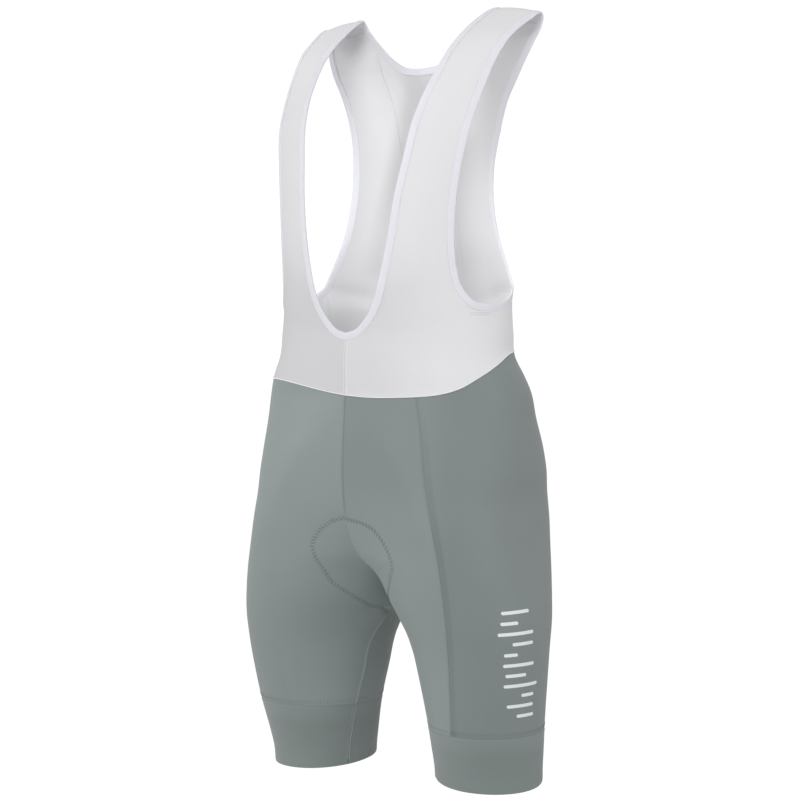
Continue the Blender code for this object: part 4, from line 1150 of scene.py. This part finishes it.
def shorts_panel(side, name, start, end):
    first, last, share, drops = [], [], [], []
    t = crowded(PANEL_WIDTH[name], MESH_STEP, 0.8 * MM) / PANEL_WIDTH[name]
    for drop in shorts_levels(side):
        a, b = seam_share(start, drop), seam_share(end, drop)
        row = a + (b - a) * t
        high = waist_drop(row, side)
        eased = high + (LEVEL_DROP - high) * (drop - WAIST_DROP) / (LEVEL_DROP - WAIST_DROP)
        first.append(np.full(len(t), a))
        last.append(np.full(len(t), b))
        share.append(row)
        drops.append(eased if drop < LEVEL_DROP else np.full(len(t), drop))
    first, last, share, drops = (np.stack(rows) for rows in (first, last, share, drops))
    points = skin(share, drops)
    whole = half_length(drops)
    uv = np.stack((share * whole, drops), axis=-1)
    before, after = (share - first) * whole, (last - share) * whole
    if name == "side":
        uv[..., 0] = before
    waist, band = drops - waist_drop(share, side), BAND_TOP[side] - drops
    plain = {"front": (1, 0.15), "side": (0.15, 1), "back": (1, 1)}[name] if side < 0 else (1, 1)
    relief = 0.3 * roll(waist) + 0.6 * roll(band)
    # Painted shade beside the waist and band seams, over an even base so painted light can lift the cloth.
    painted_shade = 0.3 * near_seam(waist, 0.9 * MM) + 0.2 * near_seam(band, 1.2 * MM) + 0.16
    if name == "front":
        # The middle seam fades out over the pad. Painted shade darkens part of each front; painted light
        # lifts the crotch.
        fade = 1 - ease(drops, 0.57, 0.60)
        relief += 0.9 * fade * roll(before) + plain[1] * roll(after)
        painted_shade += 0.42 * near_seam(before, 1.1 * MM) * fade + 0.15 * near_seam(after, 0.8 * MM) * (side > 0)
        painted_shade -= 0.16 * near_seam(before, 80 * MM) * ease(drops, 0.59, 0.65)
        if side > 0:
            relief += ridge(after, 2.4, 1.5, 0.3)
            painted_shade += 0.28 * (1 - ease(drops, 0.52, 0.62))
        else:
            painted_shade += 0.13 * ease(drops, 0.62, 0.74) * ease(before, 20 * MM, 90 * MM)
    if name == "side":
        # Painted shade: a dark band in the trough beside the left front seam, darker seams, and the lower
        # right panel darker.
        band_edge = ease(-before, -7.5 * MM, -6 * MM) * ease(drops, 0.44, 0.56)
        relief += plain[0] * roll(before) * 0.7 + roll(after)
        if side > 0:
            relief -= 0.3 * MM * band_edge
            painted_shade += 0.22 * band_edge + 0.25 * near_seam(before - 6.8 * MM, 1 * MM) * ease(drops, 0.5, 0.66)
            painted_shade += 0.15 * near_seam(before, 2.5 * MM) * (1 - ease(drops, 0.44, 0.56))
        else:
            painted_shade += 0.13 * ease(drops, 0.62, 0.74)
        painted_shade += 0.3 * near_seam(after, 1.2 * MM)
    if name == "back":
        fade = 1 - ease(drops, 0.57, 0.60)
        relief += roll(after) * (drops < CROTCH_DROP) + roll(before)
        # Painted shade along both seams of the back panel.
        painted_shade += 0.35 * near_seam(after, 1.1 * MM) * fade + 0.3 * near_seam(before, 1.2 * MM)
    relief = relief.ravel()
    painted_shade = painted_shade.ravel()
    if name != "side":
        line = PAD_SEAM[side] if name == "front" else PAD_SEAM_BACK
        away = from_line(uv.reshape(-1, 2), line)
        relief -= 0.45 * MM * near_seam(away, 3 * MM)
        # Painted shade in the pressed groove of the pad's stitched outline.
        painted_shade += 0.05 * near_seam(away, 2.4 * MM)
    painted_shade = np.clip(painted_shade, 0, 1)
    look = SIDE_CLOTH[side] if name == "side" else STRETCH_CLOTH
    piece = cloth(
        f"shorts_{name}_{SIDES[side]}", points, quads(grid(points)), uv, look, side,
        STRETCH_WALL, relief, painted_shade,
    )


for side in SIDES:
    for panel in PANELS:
        shorts_panel(side, *panel)


# ---- Leg bands ---------------------------------------------------------------------------------------
# A soft ribbed gripper band round each leg, of the same colour, joined to the panels by a flat seam.

HEM_COLUMNS = ("share", "drop")
HEM = ((0, 896), (0.25, 904), (0.5, 904), (0.75, 891), (1, 896))
BAND_COLUMNS, BAND_DEPTH, BAND_WALL = 150, 60 * MM, 1.2 * MM


def band_pattern(start):
    """Power stretch band: fine ribs down the leg, a shade darker than the panels."""
    across, _, place = threads_across(start)
    ribs = across.waves(1.1)
    grain = start.node("ShaderNodeTexNoise", {"Vector": place, "Scale": 1200.0})
    tone = clouded(start, 22, (0.213, 0.249, 0.242), (0.233, 0.27, 0.263))
    return start.mix(ribs * 0.1 + 0.15, tone, (0.18, 0.212, 0.206, 1)), ribs * 0.6 + grain


BAND_CLOTH = cloth_material("grey-green leg band", 0.5, band_pattern, 0.08 * MM, sheen=0.2)


def leg_band(side):
    # The columns stand close together beside the inseam.
    even = np.arange(BAND_COLUMNS) / BAND_COLUMNS
    share = (even - 0.9 * np.sin(math.tau * (even - 0.08)) / math.tau) % 1
    share = np.sort(share)
    top = BAND_TOP[side]
    low = read(HEM, HEM_COLUMNS, "drop", share)
    down = crowded(BAND_DEPTH, MESH_STEP) / BAND_DEPTH
    drops = top + (low - top) * down[:, None]
    share = np.broadcast_to(share, drops.shape)
    points = skin(share, drops)
    uv = np.stack((share * half_length(drops), drops), axis=-1)
    inseam = read(INSEAM_ROUND, ROUND_COLUMNS, "share", drops)
    beside = (share - inseam + 0.5) % 1 - 0.5
    beside *= half_length(drops)
    relief = 0.6 * roll(drops - top) + 0.5 * roll(low - drops)
    relief += ridge(drops - top, 2.6, 1.6, 0.35)
    relief += ridge(np.abs(beside), 1.7, 0.9, 0.8) + roll(beside)
    # Painted shade beside the top seam and the inseam, and over all but the top of the band.
    painted_shade = 0.15 * near_seam(drops - top, 0.8 * MM) + 0.5 * near_seam(beside, 0.7 * MM)
    painted_shade += 0.2 * ease(drops - top, 6 * MM, 26 * MM)
    closed = np.pad(grid(points), ((0, 0), (0, 1)), "wrap")
    piece = cloth(
        f"leg_band_{SIDES[side]}", points, quads(closed), uv, BAND_CLOTH, side, BAND_WALL, relief,
        np.clip(painted_shade, 0, 1),
    )


for side in SIDES:
    leg_band(side)


# ---- Seat pad ----------------------------------------------------------------------------------------
# A moulded foam pad with a fleece face, sewn inside the crotch with a zigzag stitch through the panels.

# The pad's rows from front to back. Each starts on the middle plane, at a drop in mm, and ends on the
# pad's edge, at a share of the half girth from the front's or the back's middle and a drop in mm.
PAD_FRONT = (
    (591, 0.022, 592.5), (600, 0.062, 602), (611, 0.085, 614), (623, 0.097, 628), (640, 0.100, 645),
    (657, 0.110, 662), (677, 0.112, 681), (692, 0.095, 695), (702, 0.055, 705), (706.5, 0.012, 709.5),
)
PAD_BACK = (
    (702, 0.050, 704.5), (690, 0.090, 694), (670, 0.120, 673), (640, 0.130, 642), (605, 0.125, 606),
    (575, 0.100, 576), (560, 0.035, 561),
)
# How far its edge stands inside the form, how much further its middle does, and its thickness.
PAD_CLEAR, PAD_LIFT, PAD_WALL = 2.6 * MM, 3 * MM, 6 * MM
PAD_ACROSS = 41


def pad_pattern(start):
    place = start.node("ShaderNodeTexCoord", out=3)
    fleece = start.node("ShaderNodeTexNoise", {"Vector": place, "Scale": 900.0, "Detail": 4.0})
    return start.mix(fleece, (0.22, 0.23, 0.24, 1), (0.29, 0.30, 0.31, 1)), fleece


PAD_FLEECE = cloth_material("pad fleece", 0.9, pad_pattern, 0.3 * MM, sheen=0.3)


def seat_pad():
    across = np.linspace(-1, 1, PAD_ACROSS)
    part = np.abs(across)
    outer, inner = [], []
    for rows, back in ((PAD_FRONT, False), (PAD_BACK, True)):
        for rise, share, drop in finer(rows, 4):
            place = 1 - part * share if back else part * share
            level = (rise + (drop - rise) * part) * MM
            along = skin(place + 0.004, level) - skin(place - 0.004, level)
            down = skin(place, level + 0.003) - skin(place, level - 0.003)
            out = unit(np.cross(down, along))
            out[part == 0, 0] = 0
            out = unit(out)
            clear = PAD_CLEAR + PAD_LIFT * (1 - part[:, None] ** 2)
            thick = PAD_WALL * (0.25 + 0.75 * np.sqrt(np.clip(1 - part[:, None] ** 4, 0, 1)))
            base = skin(place, level) - out * clear
            for made, points in ((outer, base), (inner, base - out * thick)):
                points = points.copy()
                points[:, 0] *= np.sign(across)
                made.append(points)
    outer, inner = np.stack(outer), np.stack(inner)
    points = np.vstack((outer.reshape(-1, 3), inner.reshape(-1, 3))) - (0, SHOULDER_Y, 0)
    ids = grid(outer)
    faces = quads(ids) + [face[::-1] for face in quads(ids + ids.size)]
    rim = np.concatenate((ids[0, :-1], ids[:-1, -1], ids[-1, :0:-1], ids[:0:-1, 0]))
    after = np.roll(rim, -1)
    faces += np.stack((after + ids.size, rim + ids.size, rim, after), axis=1).tolist()
    piece = mesh_piece("seat_pad", points, faces, None, PAD_FLEECE, replaces="seat_pad")


seat_pad()


# ---- Seams of the shorts -----------------------------------------------------------------------------
# Textured thread again: white along the waist seam, and grey-green in the others: round the pad, along
# the inseams and over the leg bands.

def on_skin(share, drop, side):
    """Points on the cloth with the directions out of it."""
    around = skin(share + 0.004, drop) - skin(share - 0.004, drop)
    down = skin(share, drop + 2 * MM) - skin(share, drop - 2 * MM)
    return skin(share, drop) * (side, 1, 1), unit(np.cross(down, around)) * (side, 1, 1)


def seam_thread(
    name, line, side, pitch, along, across, look, radius, aside=0, lift=0.1 * MM,
    arch=0.25 * MM,
):
    """Stitches along a line of places on the cloth, each with its reach along the line and across it."""
    even = np.linspace(0, len(line) - 1, 500)
    share, drop = (np.interp(even, np.arange(len(line)), values) for values in np.array(line).T)
    points, out = on_skin(share, drop, side)
    run = run_of(points)
    places = np.arange(pitch / 2, run[-1] - pitch / 3, pitch)
    here, up, ahead = along_run(run, (points, out, np.gradient(points, axis=0)), places)
    up, ahead = unit(up), unit(ahead)
    beside = np.cross(ahead, up)
    here = here + up * lift + beside * aside
    step = ahead * along / 2 + beside * across / 2
    stitches(name, here - step, here + step, up, look, radius, arch)


DARK_THREAD = thread("dark grey-green thread", 0.55, (0.13, 0.16, 0.155), (0.17, 0.20, 0.195))
LIGHT_THREAD = thread("light grey-green thread", 0.55, (0.46, 0.50, 0.49), (0.55, 0.59, 0.58))
LEG_DROPS = np.array((709, 712, 716, 722, 730, 745, 760, 780, 800, 820, 840, 870, 893)) * MM

for side, word in SIDES.items():
    waist = [(share, float(waist_drop(share, side)) - 0.5 * MM) for share in np.linspace(0, 0.999, 60)]
    seam_thread(
        f"waist_stitches_{word}", waist, side, 1.9 * MM, 2.1 * MM, 0.3 * MM, WHITE_THREAD, 0.5 * MM,
        lift=0.3 * MM, arch=0.15 * MM,
    )
    for panel, line in (("front", PAD_SEAM[side]), ("back", PAD_SEAM_BACK)):
        seam_thread(
            f"pad_stitches_{panel}_{word}", line, side, 4.4 * MM, 2.6 * MM, 5.2 * MM, DARK_THREAD,
            0.26 * MM, lift=-0.05 * MM,
        )
    inseam = [(seam_share("inner_front", drop), drop) for drop in LEG_DROPS]
    for row, aside in enumerate((-0.9, 0.9)):
        seam_thread(
            f"inseam_stitches_{word}_{row}", inseam, side, 2.3 * MM, 2.0 * MM, 0.3 * MM, LIGHT_THREAD,
            0.24 * MM, aside * MM, lift=0.2 * MM,
        )
    over = [(share, BAND_TOP[side] - 5 * MM) for share in np.linspace(0.03, 0.97, 80)]
    seam_thread(
        f"band_stitches_{word}", over, side, 3.9 * MM, 0.8 * MM, 5.2 * MM, DARK_THREAD, 0.22 * MM,
        lift=0, arch=0.1 * MM,
    )


# ---- Floor, camera and light -------------------------------------------------------------------------
# Shown on nothing but a plain pale floor far below, in broad soft light from the camera's side.

def floor_material():
    """Matt and pale. It shows evenly lit, and throws back only part of the light."""
    made = bpy.data.materials.new("pale floor")
    made.use_nodes = True
    tree = made.node_tree
    start = Flow(tree)
    matt = start.node("ShaderNodeBsdfDiffuse", {"Color": (0.62, 0.62, 0.62, 1)})
    bright = start.node("ShaderNodeEmission", {"Color": (1, 1, 1, 1), "Strength": 1.02})
    shown = start.node("ShaderNodeMixShader", {0: start.node("ShaderNodeLightPath"), 1: matt, 2: bright})
    tree.links.new(shown.socket, tree.nodes["Material Output"].inputs["Surface"])
    return made


bpy.ops.mesh.primitive_plane_add(size=40, location=(0, 0, -1.5))
floor = bpy.context.object
floor.name = "floor"
floor.data.materials.append(floor_material())

camera = placed("camera", bpy.data.cameras.new("camera"))
CAMERA_LENS, CAMERA_ROUND, CAMERA_DOWN = 84.15, 31, 2.39  # mm, degrees round to the left, degrees down
camera.location = (1.139, -1.962, -0.3687)
camera.rotation_euler = (math.radians(90 - CAMERA_DOWN), 0, math.radians(CAMERA_ROUND))
camera.data.lens = CAMERA_LENS
bpy.context.scene.camera = camera

world = bpy.data.worlds.new("studio")
world.use_nodes = True
bpy.context.scene.world = world
SKY_LIGHT, SKY_SEEN = 0.63, 0.42  # its brightness on the cloth, and what the camera sees on top of that
start = Flow(world.node_tree)
seen = start.node("ShaderNodeLightPath")
backdrop = world.node_tree.nodes["Background"]
backdrop.inputs["Color"].default_value = (1, 1, 1, 1)
world.node_tree.links.new((seen * SKY_SEEN + SKY_LIGHT).socket, backdrop.inputs["Strength"])


def area_light(name, place, target, size, power):
    lamp = placed(name, bpy.data.lights.new(name, "AREA"))
    lamp.data.shape, lamp.data.size, lamp.data.energy = "DISK", size, power
    lamp.location = place
    lamp.visible_camera = False
    lamp.rotation_euler = (Vector(target) - Vector(place)).to_track_quat("-Z", "Y").to_euler()


GARMENT = (0, -0.1, -0.45)
area_light("key", (-2.4, -1.9, 0.5), GARMENT, 1.6, 25)
area_light("front", (0.5, -3.0, 0.5), GARMENT, 1.6, 34)
area_light("fill", (3.0, 0.0, 0.2), GARMENT, 2.0, 20)
# A weak lamp inside the chest lights the inner face of the back.
area_light("inside", (0, -0.12, -0.28), (0, 0.2, -0.26), 0.26, 0.17)
bpy.context.scene.view_settings.view_transform = "Standard"
